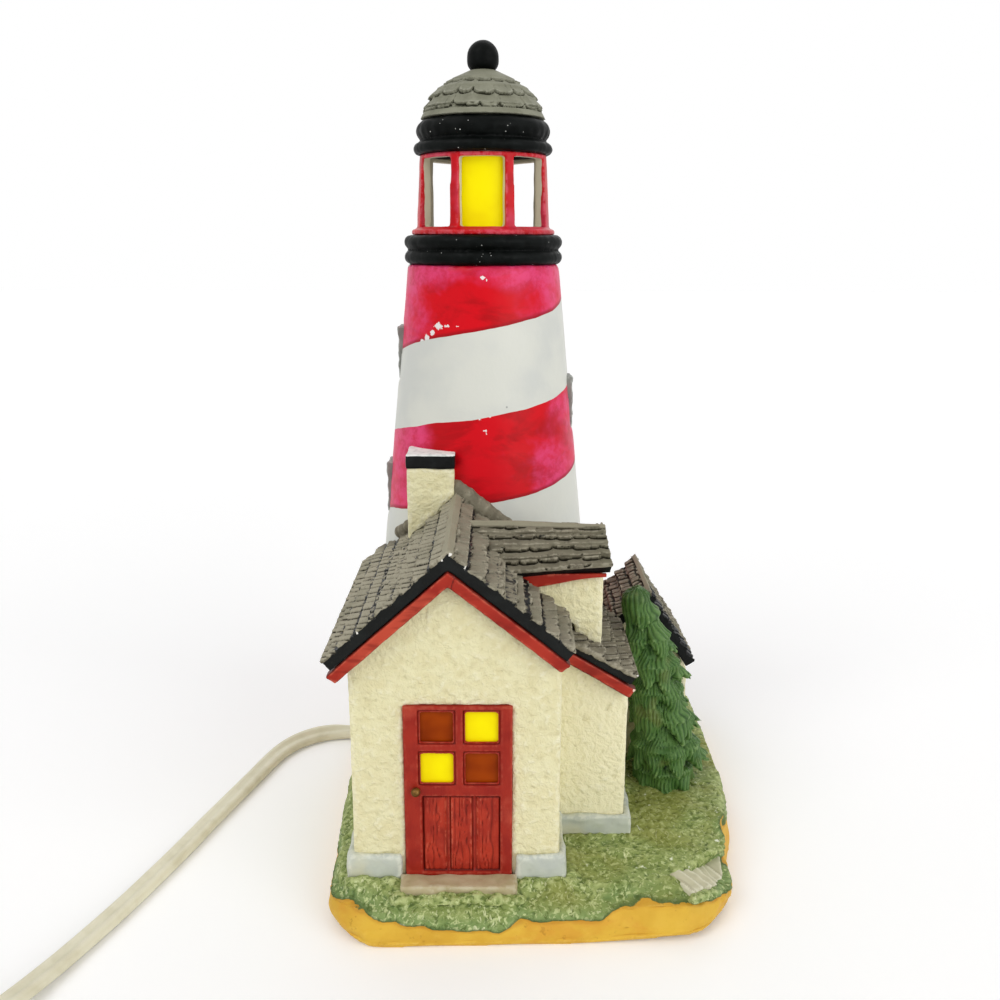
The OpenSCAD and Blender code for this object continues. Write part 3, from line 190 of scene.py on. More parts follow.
class Paint:
    """A finish under construction: a material, the nodes that make it and its colour so far."""

    def __init__(self, name, **fixed):
        self.material = bpy.data.materials.new(name)
        self.material.use_nodes = True
        self.tree = self.material.node_tree
        self.shader = self.tree.nodes["Principled BSDF"]
        for socket, value in fixed.items():
            self.feed(self.shader.inputs[socket.replace("_", " ").title()
                                         .replace("Ior", "IOR")], value)
        self.place = self.add("ShaderNodeTexCoord", output="Object")
        self.colour = None

    def add(self, kind, settings=None, sockets=None, output=0):
        node = self.tree.nodes.new(kind)
        for name, value in (settings or {}).items():
            setattr(node, name, value)
        for name, value in (sockets or {}).items():
            self.feed(node.inputs[name], value)
        return Value(self, node.outputs[output])

    def feed(self, socket, value):
        if isinstance(value, Value):
            self.tree.links.new(value.socket, socket)
        elif socket.type == "RGBA":
            socket.default_value = (*value, 1)
        else:
            socket.default_value = value

    def cloud(self, scale, detail=2.0, roughness=0.5, distortion=0.0, where=None):
        return self.add("ShaderNodeTexNoise", None, {
            "Vector": where or self.place, "Scale": scale, "Detail": detail,
            "Roughness": roughness, "Distortion": distortion})

    def cells(self, scale):
        return self.add("ShaderNodeTexVoronoi", None, {"Vector": self.place, "Scale": scale})

    def stretched(self, scale, turn=(0, 0, 0)):
        return self.add("ShaderNodeMapping", None, {
            "Vector": self.place, "Scale": scale, "Rotation": turn})

    def stepped(self, value, low, high, first=0.0, last=1.0):
        """Goes from first at low to last at high, and stays there beyond."""
        return self.add("ShaderNodeMapRange", {"interpolation_type": "SMOOTHSTEP"}, {
            "Value": value, "From Min": low, "From Max": high, "To Min": first, "To Max": last})

    def patches(self, scale, low, high, detail=3, roughness=0.5):
        """Cloudy patches: 0 where the noise is below low, 1 where it is above high."""
        return self.stepped(self.cloud(scale, detail, roughness), low, high)

    def mark(self, name):
        """A number that a piece's mesh holds at each point."""
        return self.add("ShaderNodeAttribute", {"attribute_name": name}, output="Fac")

    def ragged(self, name, scale, amount, detail=2, roughness=0.5):
        """A mesh's mark with noise added, so that what it bounds has a broken edge."""
        return self.mark(name) + (self.cloud(scale, detail, roughness) - 0.5) * amount

    def mixed(self, share, first, second):
        return self.add("ShaderNodeMix", {"data_type": "RGBA"},
                        {0: share, 6: first, 7: second}, output=2)

    def two_tone(self, mask, first, second):
        """Starts the colour afresh: first where the mask is 0 and second where it is 1."""
        self.colour = self.mixed(mask, ink(*first), ink(*second))

    def over(self, mask, tint):
        """Lays another colour over the one so far, where the mask is 1."""
        tint = tint if isinstance(tint, Value) else ink(*tint)
        self.colour = self.mixed(mask, self.colour, tint)

    def worn(self, body, second, deep, painted_highlight, mottle=140, hollow_shade=0.7, brush=0.5):
        """A hand-painted colour: mottled, with painted shade in the hollows and a broken painted
        highlight where proud.
        """
        hollow = self.mark("hollow")
        self.two_tone(self.patches(mottle, 0.35, 0.68), body, second)
        # Painted shade: the colour deep, laid into the hollows.
        self.over(self.stepped(hollow, 0.1, 1.0) * hollow_shade, deep)
        broken = self.patches(700, 0.4, 0.6, 3, 0.6)
        # Painted highlight: a paler colour, broken up, on what stands proud; brush sets its
        # strength.
        self.over(self.stepped(hollow, -0.15, -0.9) * broken * brush, painted_highlight)

    def finish(self, roughness, height=None, depth=0.1):
        """Puts the colour, the roughness and a bump of depth millimetres on the shader."""
        self.feed(self.shader.inputs["Base Color"], self.colour)
        self.feed(self.shader.inputs["Roughness"], roughness)
        if height is not None:
            bump = self.add("ShaderNodeBump", None, {
                "Height": height, "Distance": depth * MM, "Strength": 1.0})
            self.feed(self.shader.inputs["Normal"], bump)
        return self.material


def stucco_finish():
    paint = Paint("stucco_finish", specular_ior_level=0.25)
    paint.worn((232, 226, 184), (227, 219, 174), (206, 196, 148), (243, 238, 208), 240, 0.4, 0.6)
    paint.over(paint.patches(60, 0.58, 0.78, 4, 0.6) * 0.22, (214, 205, 160))
    # Painted light: the wing's walls are painted paler, to make up for the shade that the main
    # cottage casts on them.
    paint.over(paint.mark("pale") * 0.7, (248, 242, 206))
    grain = paint.cloud(1, 3, 0.55, 0.3, paint.stretched((520, 520, 560)))
    # Painted shade and highlight: the grain is painted darker in its pits and paler on its bumps,
    # where the same grain bumps the surface.
    paint.over(paint.stepped(grain, 0.42, 0.28) * 0.55, (206, 197, 150))
    paint.over(paint.stepped(grain, 0.56, 0.7) * 0.4, (244, 240, 212))
    return paint.finish(paint.stepped(grain, 0.3, 0.7, 0.62, 0.5),
                        grain + paint.cloud(2600, 2) * 0.15, 0.9)


def shingle_finish():
    """Grey-brown shingles with painted shade in the joints and under each row, painted light on
    the slopes facing left, satin black on the roof's edge, and chips.
    """
    paint = Paint("shingle_finish", specular_ior_level=0.2)
    paint.worn((128, 122, 104), (108, 102, 86), (58, 54, 40), (182, 176, 156), 230, 0.85, 0.6)
    # Painted light: shingles on the slopes facing the key lamp are painted paler.
    paint.over(paint.mark("painted_highlight") * 0.7, (186, 180, 158))
    paint.over(paint.patches(60, 0.46, 0.7) * 0.4, (118, 116, 94))
    grain = paint.cloud(1700, 4, 0.65)
    paint.over(paint.stepped(grain, 0.44, 0.3) * 0.5, (74, 70, 54))
    paint.over(paint.stepped(paint.mark("strip"), 0.2, 0.8) * 0.7, (154, 149, 127))
    # Painted shade: the gaps beside the shingles and under their lower ends are painted near
    # black.
    paint.over(paint.stepped(paint.ragged("gap", 900, 0.5), 0.2, 0.85), (38, 35, 24))
    edge = paint.stepped(paint.ragged("edge", 650, 0.9, 3), -0.08, 0.08)
    paint.over(edge, paint.mixed(paint.patches(200, 0.4, 0.7), ink(6, 8, 7), ink(18, 21, 20)))
    chip = paint.stepped(paint.ragged("chip", 900, 0.7), 0.3, 0.45)
    paint.over(chip, (238, 236, 228))
    return paint.finish(paint.stepped(edge - chip, 0.0, 1.0, 0.74, 0.44), grain, 0.14)


def black_finish():
    """Satin black with a painted blue-grey sheen on what stands proud, and small chips where the
    white clay shows.
    """
    paint = Paint("black_satin_finish", specular_ior_level=0.07)
    paint.two_tone(paint.patches(260, 0.4, 0.7), (3, 5, 4), (10, 13, 12))
    # Painted sheen: points that stand proud are painted blue-grey.
    paint.over(paint.stepped(paint.mark("hollow"), -0.3, -1.1) * 0.4, (34, 40, 39))
    chip = paint.stepped(paint.cells(620), 0.11, 0.077) * paint.patches(136.4, 0.5, 0.62, 2)
    paint.over(chip, (205, 206, 200))
    return paint.finish(paint.stepped(paint.cloud(500, 2), 0.3, 0.7, 0.4, 0.55),
                        paint.cloud(700, 2), 0.08)


def crown_finish():
    """The chimney's black band, with its top chipped back to the white clay."""
    paint = Paint("chimney_crown_finish", specular_ior_level=0.15)
    paint.two_tone(paint.patches(300, 0.4, 0.7), (12, 14, 14), (26, 28, 28))
    bare = paint.stepped(paint.ragged("bare", 420, 2.4, 3, 0.6), -0.1, 0.1)
    paint.over(bare, paint.mixed(paint.patches(500, 0.45, 0.7), ink(238, 240, 236),
                                 ink(206, 210, 206)))
    return paint.finish(paint.stepped(bare, 0, 1, 0.35, 0.6), paint.cloud(800, 3), 0.14)


def board_finish():
    paint = Paint("board_finish", specular_ior_level=0.2)
    paint.worn((172, 48, 32), (148, 34, 22), (84, 16, 8), (214, 110, 84), 90, 0.8, 0.5)
    paint.over(paint.patches(34, 0.52, 0.64, 3, 0.6) * 0.5, (204, 86, 62))
    streak = paint.cloud(1, 3, 0.6, 0.2, paint.stretched((90, 300, 300)))
    paint.over(paint.stepped(streak, 0.5, 0.66) * 0.6, (120, 24, 14))
    # Painted shade: dark along the boards' top and foot edges, where they meet the roof and the
    # wall, and in the mitre between the front boards.
    paint.over(paint.stepped(paint.ragged("gap", 500, 0.5), 0.25, 0.8) * 0.75, (72, 12, 8))
    paint.over(paint.stepped(paint.ragged("chip", 900, 0.8), 0.35, 0.5), (240, 214, 196))
    return paint.finish(0.45, streak, 0.08)


def stone_finish():
    paint = Paint("stone_finish", specular_ior_level=0.3)
    paint.worn((196, 201, 188), (182, 188, 180), (132, 132, 112), (222, 224, 210), 150, 0.6, 0.6)
    paint.over(paint.patches(80, 0.5, 0.7) * 0.55, (212, 207, 172))
    return paint.finish(0.6, paint.cloud(900, 4, 0.6), 0.14)


def slab_finish():
    paint = Paint("door_slab_finish", specular_ior_level=0.35)
    paint.worn((190, 177, 142), (174, 160, 122), (100, 92, 62), (202, 194, 166), 200, 0.8, 0.5)
    return paint.finish(0.6, paint.cloud(900, 4, 0.6), 0.14)


def step_finish():
    paint = Paint("step_finish", specular_ior_level=0.3)
    paint.worn((206, 201, 172), (190, 186, 156), (128, 122, 92), (226, 223, 202), 200, 0.6, 0.5)
    # Painted shade at the back of each tread, where it meets the riser behind, and a painted
    # highlight along each nosing.
    paint.over(paint.stepped(paint.mark("riser"), 0.1, 0.9) * 0.5, (160, 152, 122))
    paint.over(paint.stepped(paint.mark("nosing"), 0.2, 0.9) * 0.55, (230, 226, 204))
    return paint.finish(0.6, paint.cloud(900, 4, 0.6), 0.14)


def door_finish():
    paint = Paint("door_finish", specular_ior_level=0.18)
    paint.worn((176, 52, 32), (152, 38, 24), (80, 14, 6), (212, 108, 82), 200, 0.7, 0.5)
    paint.over(paint.stepped(paint.ragged("frame", 160, 1.2, 3), 0.2, 0.9) * 0.45, (136, 24, 20))
    paint.over(paint.patches(120, 0.54, 0.72, 4, 0.65) * 0.3, (204, 92, 70))
    # Dark in the grooves, a painted shade, and along the lines of the grain, the wood's own
    # pattern.
    paint.over(paint.stepped(paint.mark("gap"), 0.3, 1.0) * 0.7, (84, 14, 6))
    grain = paint.cloud(1, 3, 0.6, 0.6, paint.stretched((1500, 400, 320)))
    return paint.finish(0.45, grain, 0.06)


def tower_finish():
    """White clay with red bands: brushed, worn to pink in patches with a painted pink sheen at
    the sides, and chipped.
    """
    paint = Paint("tower_finish", specular_ior_level=0.16)
    stripe = paint.ragged("stripe", 90, 1.1, 3)
    red = paint.stepped(stripe, -0.06, 0.06)
    paint.two_tone(paint.patches(70, 0.4, 0.7), (216, 217, 208), (207, 209, 203))
    speck = paint.stepped(paint.cells(170), 0.06, 0.03) * paint.patches(45, 0.5, 0.55, 1)
    paint.over(speck * 0.8, (150, 150, 148))
    white = paint.colour
    brush = paint.cloud(1, 4, 0.65, 0.5, paint.stretched((52, 52, 120), (0.0, 0.35, 0.0)))
    paint.two_tone(paint.stepped(brush, 0.42, 0.62), (212, 0, 20), (182, 0, 14))
    # Pink where the red is worn in patches, and a painted pink sheen at the tower's sides.
    pink_wear_and_sheen = paint.stepped(paint.cloud(1, 4, 0.65, 0.6, paint.stretched((30, 30, 46)))
                          + paint.mark("pink_wear_and_sheen"), 0.6, 0.86)
    grainy = paint.patches(340, 0.36, 0.62, 4, 0.7)
    paint.over(pink_wear_and_sheen * (grainy * 0.45 + 0.45), (226, 70, 122))
    rim = paint.stepped(stripe, 1.3, 0.3) * paint.mark("lower")
    paint.over(rim * 0.7, (140, 0, 16))
    paint.over(paint.stepped(paint.ragged("chip", 700, 1.6, 3, 0.6), 0.3, 0.42), (236, 228, 226))
    paint.colour = paint.mixed(red, white, paint.colour)
    return paint.finish(paint.stepped(paint.cloud(120, 3), 0.3, 0.7, 0.34, 0.46),
                        paint.cloud(240, 3) + red * 0.25, 0.14)


def ground_finish(name):
    """Sand and grass paint on one bank, with turf the height above the line between them."""
    paint = Paint(name, specular_ior_level=0.3)
    turf = paint.mark("turf")
    paint.worn((221, 178, 58), (211, 164, 48), (168, 108, 30), (242, 206, 96), 130, 0.5, 0.5)
    blot = paint.stepped(paint.cloud(1, 4, 0.6, 0.4, paint.stretched((60, 60, 150))), 0.5, 0.7)
    paint.over(blot * 0.5, (212, 146, 46))
    paint.over(paint.patches(420, 0.6, 0.7, 4, 0.7) * 0.55, (172, 122, 30))
    paint.over(paint.stepped(turf, -0.9, -0.1) * 0.4, (182, 118, 34))
    sand = paint.colour
    paint.worn((150, 163, 96), (130, 146, 78), (64, 86, 36), (198, 208, 144), 210, 0.7, 0.6)
    paint.over(paint.stepped(turf, 3.5, 0.8) * 0.5, (98, 134, 76))
    moss = paint.cloud(700, 4, 0.6, 0.8)
    paint.over(paint.stepped(moss, 0.48, 0.36) * 0.85, (84, 104, 42))
    paint.over(paint.stepped(paint.cloud(900, 3, 0.6, 0.6), 0.53, 0.64) * 0.8, (198, 208, 148))
    blade = paint.cloud(1, 2, 0.5, 1.6, paint.stretched((900, 260, 500), (0.3, 0.2, 0.6)))
    lit = paint.stepped(blade, 0.63, 0.7) * paint.patches(90, 0.42, 0.6, 2)
    paint.over(lit * 0.75, (226, 230, 182))
    paint.over(paint.patches(42, 0.52, 0.66, 2) * 0.4, (136, 130, 46))
    paint.over(paint.stepped(paint.ragged("bare", 330, 3.2, 4, 0.6), 0.5, 0.7), (228, 232, 208))
    paint.over(paint.stepped(turf, 0.9, 0.1) * 0.7, (60, 84, 34))
    grassy = paint.stepped(paint.ragged("turf", 420, 0.8, 3), -0.06, 0.06)
    paint.colour = paint.mixed(grassy, sand, paint.colour)
    return paint.finish(0.55, moss * grassy + paint.cloud(600, 4, 0.6) * 0.4, 0.45)


def tree_finish():
    paint = Paint("tree_finish", specular_ior_level=0.3)
    paint.worn((80, 116, 54), (60, 98, 40), (20, 48, 12), (140, 168, 106), 200, 0.9, 0.8)
    gap = paint.mark("gap")
    # Painted shade in the needle grooves and a painted highlight on the ridges between them.
    paint.over(paint.stepped(gap, 0.35, 1.0) * 0.6, (24, 54, 14))
    paint.over(paint.stepped(gap, 0.25, 0.0) * 0.3, (112, 142, 84))
    paint.over(paint.stepped(paint.mark("shade"), 0.0, 1.0) * 0.9, (12, 36, 6))
    paint.over(paint.patches(110, 0.56, 0.7, 2) * 0.35, (122, 118, 62))
    return paint.finish(0.5, paint.cloud(900, 3, 0.6), 0.12)


def dome_finish():
    paint = Paint("dome_finish", specular_ior_level=0.3)
    paint.worn((134, 134, 116), (120, 120, 102), (80, 80, 62), (162, 162, 146), 200, 0.7, 0.6)
    grain = paint.cloud(1200, 3, 0.6)
    paint.over(paint.stepped(grain, 0.4, 0.28) * 0.3, (96, 96, 78))
    # Painted shade in the gaps between the tiles and under their lower ends.
    paint.over(paint.stepped(paint.ragged("gap", 300, 0.7), 0.3, 0.9) * 0.9, (52, 52, 38))
    return paint.finish(0.66, grain, 0.1)


def lantern_finish():
    """Red outside, worn to pink in places, and bare clay inside."""
    paint = Paint("lantern_finish", specular_ior_level=0.18)
    paint.worn((200, 8, 22), (176, 4, 16), (104, 2, 10), (230, 120, 132), 200, 0.6, 0.45)
    paint.over(paint.patches(70, 0.5, 0.66) * 0.5, (216, 74, 104))
    bare = paint.stepped(paint.ragged("inside", 300, 0.5), -0.05, 0.05)
    paint.over(bare, (206, 198, 174))
    return paint.finish(paint.stepped(bare, 0, 1, 0.36, 0.6), paint.cloud(500, 3), 0.1)


def frame_finish():
    paint = Paint("window_frame_finish", specular_ior_level=0.35)
    paint.worn((150, 152, 146), (128, 130, 124), (54, 54, 48), (196, 197, 190), 260)
    return paint.finish(0.6, paint.cloud(900, 3, 0.6), 0.1)


def pane_finish(name, bright, deep, painted_glow):
    """Coloured film, through which the bulb's light passes on the lamp; no bulb is lit here, so
    the film has a faint painted glow of its own colour.
    """
    paint = Paint(name, ior=1.48, emission_strength=painted_glow, specular_ior_level=0.08)
    haze = paint.patches(120, 0.35, 0.7, 2)
    paint.two_tone(haze, bright, deep)
    # Painted glow: the film emits its own colour.
    paint.feed(paint.shader.inputs["Emission Color"], paint.colour)
    return paint.finish(paint.stepped(haze, 0, 1, 0.36, 0.46), paint.cloud(420, 2), 0.01)


def plastic_finish(name, body, second, roughness=0.35, scale=260):
    paint = Paint(name)
    paint.two_tone(paint.patches(scale, 0.35, 0.7), body, second)
    fine = paint.cloud(2400, 2)
    return paint.finish(paint.stepped(fine, 0.3, 0.7, roughness - 0.05, roughness + 0.08),
                        fine, 0.03)


def metal_finish(name, body, second, roughness=0.25):
    paint = Paint(name, metallic=1.0)
    paint.two_tone(paint.patches(160, 0.4, 0.7), body, second)
    brushed = paint.cloud(1, 3, 0.6, 0.0, paint.stretched((260, 260, 3000)))
    return paint.finish(paint.stepped(brushed, 0.3, 0.7, roughness, roughness + 0.14),
                        brushed, 0.02)


def glass_finish():
    paint = Paint("bulb_glass_finish", transmission_weight=1.0, ior=1.46)
    ripple = paint.cloud(60, 2)
    paint.two_tone(paint.stepped(ripple, 0.3, 0.7), (252, 250, 244), (246, 244, 236))
    return paint.finish(paint.stepped(ripple, 0.3, 0.7, 0.02, 0.07), ripple, 0.02)


# Shaping tools


def solids_of(*nodes):
    """CAD nodes' solids as one bmesh, with their loose triangles joined."""
    form = bmesh.new()
    for node in nodes:
        form.from_mesh(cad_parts[node].data)
    bmesh.ops.remove_doubles(form, verts=form.verts, dist=0.00001)
    return form


def fused(form, grain):
    """One closed skin over all of form, with its points about grain millimetres apart."""
    mesh = bpy.data.meshes.new("work")
    form.to_mesh(mesh)
    form.free()
    work = bpy.data.objects.new("work", mesh)
    scene.collection.objects.link(work)
    skin = work.modifiers.new("skin", "REMESH")
    skin.mode = "VOXEL"
    skin.voxel_size = grain * MM
    done = bmesh.new()
    done.from_object(work, bpy.context.evaluated_depsgraph_get())
    bpy.data.objects.remove(work)
    bpy.data.meshes.remove(mesh)
    return done


def smoothed(form, rounds, factor=0.5):
    for _ in range(rounds):
        bmesh.ops.smooth_vert(form, verts=form.verts, factor=factor, use_axis_x=True,
                              use_axis_y=True, use_axis_z=True)
    return form


def worked(node, grain, rounds=1, factor=0.5):
    """A CAD node's solid as one skin of small faces, with its edges softened."""
    return smoothed(fused(solids_of(node), grain), rounds, factor)


def carved(form, height_at):
    """Moves each point out along its normal by height_at(place, normal), all in millimetres."""
    form.normal_update()
    moves = [v.normal * height_at(v.co / MM, v.normal) * MM for v in form.verts]
    for v, move in zip(form.verts, moves):
        v.co += move
    return form


def bent(form, move_at):
    """Moves each point by move_at(place), in millimetres."""
    moves = [Vector(move_at(v.co / MM)) * MM for v in form.verts]
    for v, move in zip(form.verts, moves):
        v.co += move
    return form


def blob(form, place, size, subdivisions=2):
    """Adds a rounded lump at place, size from its middle each way, all in millimetres."""
    bmesh.ops.create_icosphere(
        form, subdivisions=subdivisions, radius=MM,
        matrix=Matrix.Translation(Vector(place) * MM) @ Matrix.Diagonal((*size, 1)))


def rounded(node, width, segments=2):
    """A CAD node's solid with its edges rounded by width millimetres."""
    form = solids_of(node)
    bmesh.ops.dissolve_limit(form, angle_limit=math.radians(1), verts=form.verts,
                             edges=form.edges)
    sharp = [e for e in form.edges if len(e.link_faces) == 2
             and e.calc_face_angle(0) > math.radians(28)]
    bmesh.ops.bevel(form, geom=sharp, offset=width * MM, offset_type="OFFSET",
                    segments=segments, profile=0.5, affect="EDGES", clamp_overlap=True,
                    material=-1)
    return form


def mark_hollows(mesh, rounds=7, reach=0.16):
    """Stores at each point how deep it lies below its surroundings, 1 at reach millimetres."""
    n = len(mesh.vertices)
    places = np.empty(n * 3)
    mesh.vertices.foreach_get("co", places)
    places = places.reshape(-1, 3)
    ends = np.empty(len(mesh.edges) * 2, dtype=np.int64)
    mesh.edges.foreach_get("vertices", ends)
    a, b = ends.reshape(-1, 2).T
    near = np.bincount(a, minlength=n) + np.bincount(b, minlength=n)
    soft = places.copy()
    for _ in range(rounds):
        total = np.stack([np.bincount(a, soft[b, k], n) + np.bincount(b, soft[a, k], n)
                          for k in range(3)], axis=1)
        soft = 0.4 * soft + 0.6 * total / np.maximum(near, 1)[:, None]
    normals = np.empty(n * 3)
    mesh.vertices.foreach_get("normal", normals)
    depth = ((soft - places) * normals.reshape(-1, 3)).sum(1) / (reach * MM)
    store(mesh, "hollow", depth)


def store(mesh, name, values):
    mark = mesh.attributes.new(name, "FLOAT", "POINT")
    mark.data.foreach_set("value", np.asarray(values, dtype=np.float32))


def mark_points(piece, name, number_at):
    """Stores number_at(place in millimetres, normal) at each point of a piece."""
    store(piece.data, name, [number_at(v.co / MM, v.normal) for v in piece.data.vertices])


def near_chip(place, spots):
    """1 in the middle of a chip, 0 on its rim and less beyond; a spot is x, y, z, radius."""
    return max((1 - (place - Vector(spot[:3])).length / spot[3] for spot in spots), default=0.0)


def made(name, form, finish, slot, *nodes, body="lamp", sharp=35, hollows=0.0):
    """Turns a form into a piece that stands for its CAD nodes and rides on their body."""
    for v in form.verts:
        v.co = Vector(min(max(v.co[k], cad_box[0][k]), cad_box[1][k]) for k in range(3))
    bmesh.ops.triangulate(form, faces=[f for f in form.faces if len(f.verts) > 4])
    mesh = bpy.data.meshes.new(name)
    form.to_mesh(mesh)
    form.free()
    mesh.shade_smooth()
    if sharp:
        mesh.set_sharp_from_angle(angle=math.radians(sharp))
    if hollows:
        mark_hollows(mesh, reach=hollows)
    mesh.materials.append(finish)
    piece = bpy.data.objects.new(name, mesh)
    scene.collection.objects.link(piece)
    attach(piece, body)
    if nodes:
        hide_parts(*nodes)
    return piece


def trimmed(node, ending, finish, slot, width, segments=2, body="lamp"):
    """A piece in the shape of its CAD node, with its edges rounded."""
    return made(node + ending, rounded(node, width, segments), finish, slot, node, body=body)


def kept(node, finish):
    """A CAD node whose shape is right keeps it and gets its finish."""
    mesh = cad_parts[node].data
    mesh.materials.clear()
    mesh.materials.append(finish)


# Camera and cords


def set_camera():
    lens = bpy.data.cameras.new("camera")
    lens.lens = 36
    lens.sensor_width = 36
    lens.sensor_fit = "HORIZONTAL"
    lens.clip_start = 0.01
    camera = bpy.data.objects.new("camera", lens)
    dip, roll = 0.26, 0.002
    camera.matrix_world = (Matrix.Translation((-0.0102, -0.258, 0.157))
                           @ Matrix.Rotation(math.pi / 2 - math.atan(dip), 4, "X")
                           @ Matrix.Rotation(roll, 4, "Z"))
    scene.collection.objects.link(camera)
    scene.camera = camera


def coil_point(t):
    """The coil's route after t turns: inwards on the table, then outwards on top of that."""
    turn = math.radians(180 + 360 * t)
    radius = 22.5 + 3.5 * abs(4.5 - t)
    return (-76.75 + radius * math.cos(turn), -173 + radius * math.sin(turn),
            3.95 + 6.1 * soft_step(t, 4.25, 4.75), 90)


COIL_ROUTE = [coil_point(i / 24) for i in range(int(24 * 8.25) + 1)]


def eased(route, steps=3):
    """More points between a route's points, on one smooth curve through them."""
    fine = []
    for i in range(len(route) - 1):
        p = [route[max(i - 1, 0)], route[i], route[i + 1], route[min(i + 2, len(route) - 1)]]
        for k in range(steps):
            t = k / steps
            fine.append(tuple(
                0.5 * (2 * b + (c - a) * t + (2 * a - 5 * b + 4 * c - d) * t * t
                       + (3 * b - a - 3 * c + d) * t ** 3)
                for a, b, c, d in zip(*p)))
    return fine + [route[-1]]


def cord_section():
    """The flat cord's section: two round cores side by side with a groove between them."""
    width, height = FLAT_CORD
    core = height / 2
    reach = width / 2 - core
    outline = []
    for side, first in ((1, -140), (-1, 40)):
        for k in range(9):
            turn = math.radians(first + 35 * k)
            outline.append((side * reach + core * math.cos(turn), core * math.sin(turn)))
    curve = bpy.data.curves.new("section", "CURVE")
    spline = curve.splines.new("POLY")
    spline.points.add(len(outline) - 1)
    for point, (x, y) in zip(spline.points, outline):
        point.co = (x * MM, y * MM, 0, 1)
    spline.use_cyclic_u = True
    section = bpy.data.objects.new("section", curve)
    scene.collection.objects.link(section)
    return section


def cord_piece(name, route, section, finish, nodes):
    """A stretch of the flat cord, and the points along its middle in metres."""
    curve = bpy.data.curves.new(name, "CURVE")
    curve.dimensions = "3D"
    curve.twist_mode = "Z_UP"
    curve.bevel_mode = "OBJECT"
    curve.bevel_object = section
    curve.use_fill_caps = True
    spline = curve.splines.new("POLY")
    points = eased(route)
    spline.points.add(len(points) - 1)
    for point, (x, y, z, roll) in zip(spline.points, points):
        point.co = (x * MM, y * MM, z * MM, 1)
        point.tilt = math.radians(roll)
    line = bpy.data.objects.new(name + "_line", curve)
    scene.collection.objects.link(line)
    form = bmesh.new()
    mesh = bpy.data.meshes.new_from_object(
        line.evaluated_get(bpy.context.evaluated_depsgraph_get()))
    form.from_mesh(mesh)
    bpy.data.objects.remove(line)
    bmesh.ops.remove_doubles(form, verts=form.verts, dist=0.000001)
    bmesh.ops.recalc_face_normals(form, faces=form.faces)
    return made(name, form, finish, "cord_pvc", *nodes, sharp=50), [
        (x * MM, y * MM, z * MM) for x, y, z, _ in points]


def way_length(points):
    return sum((Vector(b) - Vector(a)).length for a, b in zip(points, points[1:]))


def strain_relief(name, path, finish, slot, length=20.0):
    """A tapered sleeve with grooves, over the last stretch of a cord before its plug."""
    form = bmesh.new()
    points = [Vector(p) / MM for p in reversed(path)]
    before, cuts = None, 80
    for k in range(cuts + 1):
        far = length * k / cuts
        left, i = far, 0
        while left > (points[i + 1] - points[i]).length:
            left -= (points[i + 1] - points[i]).length
            i += 1
        way = (points[i + 1] - points[i]).normalized()
        share = far / length
        groove = 0.32 * soft_step(math.cos(far * 2 * math.pi / 2.9), 0.1, 0.7) * (
            0.04 < share < 0.94)
        wide, high = 4.9 - 1.4 * share - groove, 3.9 - 1.15 * share - groove
        across = way.cross(Vector((0, 0, 1))).normalized()
        frame_here = Matrix((across, across.cross(way), way)).transposed().to_4x4()
        ring = bmesh.ops.create_circle(
            form, cap_ends=k in (0, cuts), segments=28, radius=MM,
            matrix=Matrix.Translation((points[i] + way * left) * MM) @ frame_here
            @ Matrix.Diagonal((wide, high, 1, 1)))
        rim = list({e for v in ring["verts"] for e in v.link_edges})
        if before:
            bmesh.ops.bridge_loops(form, edges=before + rim)
        before = rim
    bmesh.ops.recalc_face_normals(form, faces=form.faces)
    return made(name, form, finish, slot, sharp=50)


def lay_cords():
    """The two stretches of cord, with the switch, tie and plug that they carry."""
    finish = plastic_finish("cord_finish", (226, 221, 196), (214, 208, 180), 0.4, 180)
    pale = plastic_finish("switch_finish", (230, 224, 204), (222, 215, 192), 0.34)
    wheel = plastic_finish("wheel_finish", (214, 207, 182), (202, 194, 168), 0.38)
    white = plastic_finish("tie_finish", (242, 242, 238), (232, 232, 228), 0.36)
    nickel = metal_finish("blade_finish", (200, 202, 204), (180, 182, 186))
    moulded = plastic_finish("plug_finish", (226, 221, 196), (214, 208, 180), 0.4, 180)
    section = cord_section()
    lead, lead_path = cord_piece("cord_to_switch", LAMP_ROUTE, section, finish,
                                 ["cord_lamp_side"])
    switch = [trimmed("switch_lower_shell", "_moulded", pale, "switch_plastic", 0.5),
              trimmed("switch_upper_shell", "_moulded", pale, "switch_plastic", 0.5),
              trimmed("switch_wheel", "_ribbed", wheel, "wheel_plastic", 0.2, 1, "wheel")]
    way_length(lead_path)
    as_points(lead_path)
    rest, rest_path = cord_piece("cord_to_plug", SWITCH_ROUTE + COIL_ROUTE + PLUG_ROUTE,
                                 section, finish,
                                 ["cord_switch_side", "cord_coil", "cord_plug_side"])
    ends = [trimmed("coil_tie", "_moulded", white, "tie_plastic", 0.15),
            trimmed("plug_blades", "_plated", nickel, "blade_metal", 0.25),
            trimmed("plug_body", "_moulded", moulded, "plug_pvc", 1.2, 3),
            strain_relief("plug_sleeve", rest_path, moulded, "plug_pvc")]
    way_length(rest_path)
    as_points(rest_path)
    bpy.data.objects.remove(section)


# Ground


def turf_height(place):
    """How far a place on the bank lies above the line where the sand starts."""
    turn = math.degrees(math.atan2(place.x, -place.y))
    line = np.interp(turn, [t for t, _ in SAND_LINE], [z for _, z in SAND_LINE])
    line += 0.6 * cloud(place, 4.5, 9)
    patch = math.hypot(place.x - 50.8, (place.y + 31.5) * 0.8) - 4.4
    return min(place.z - line, patch)


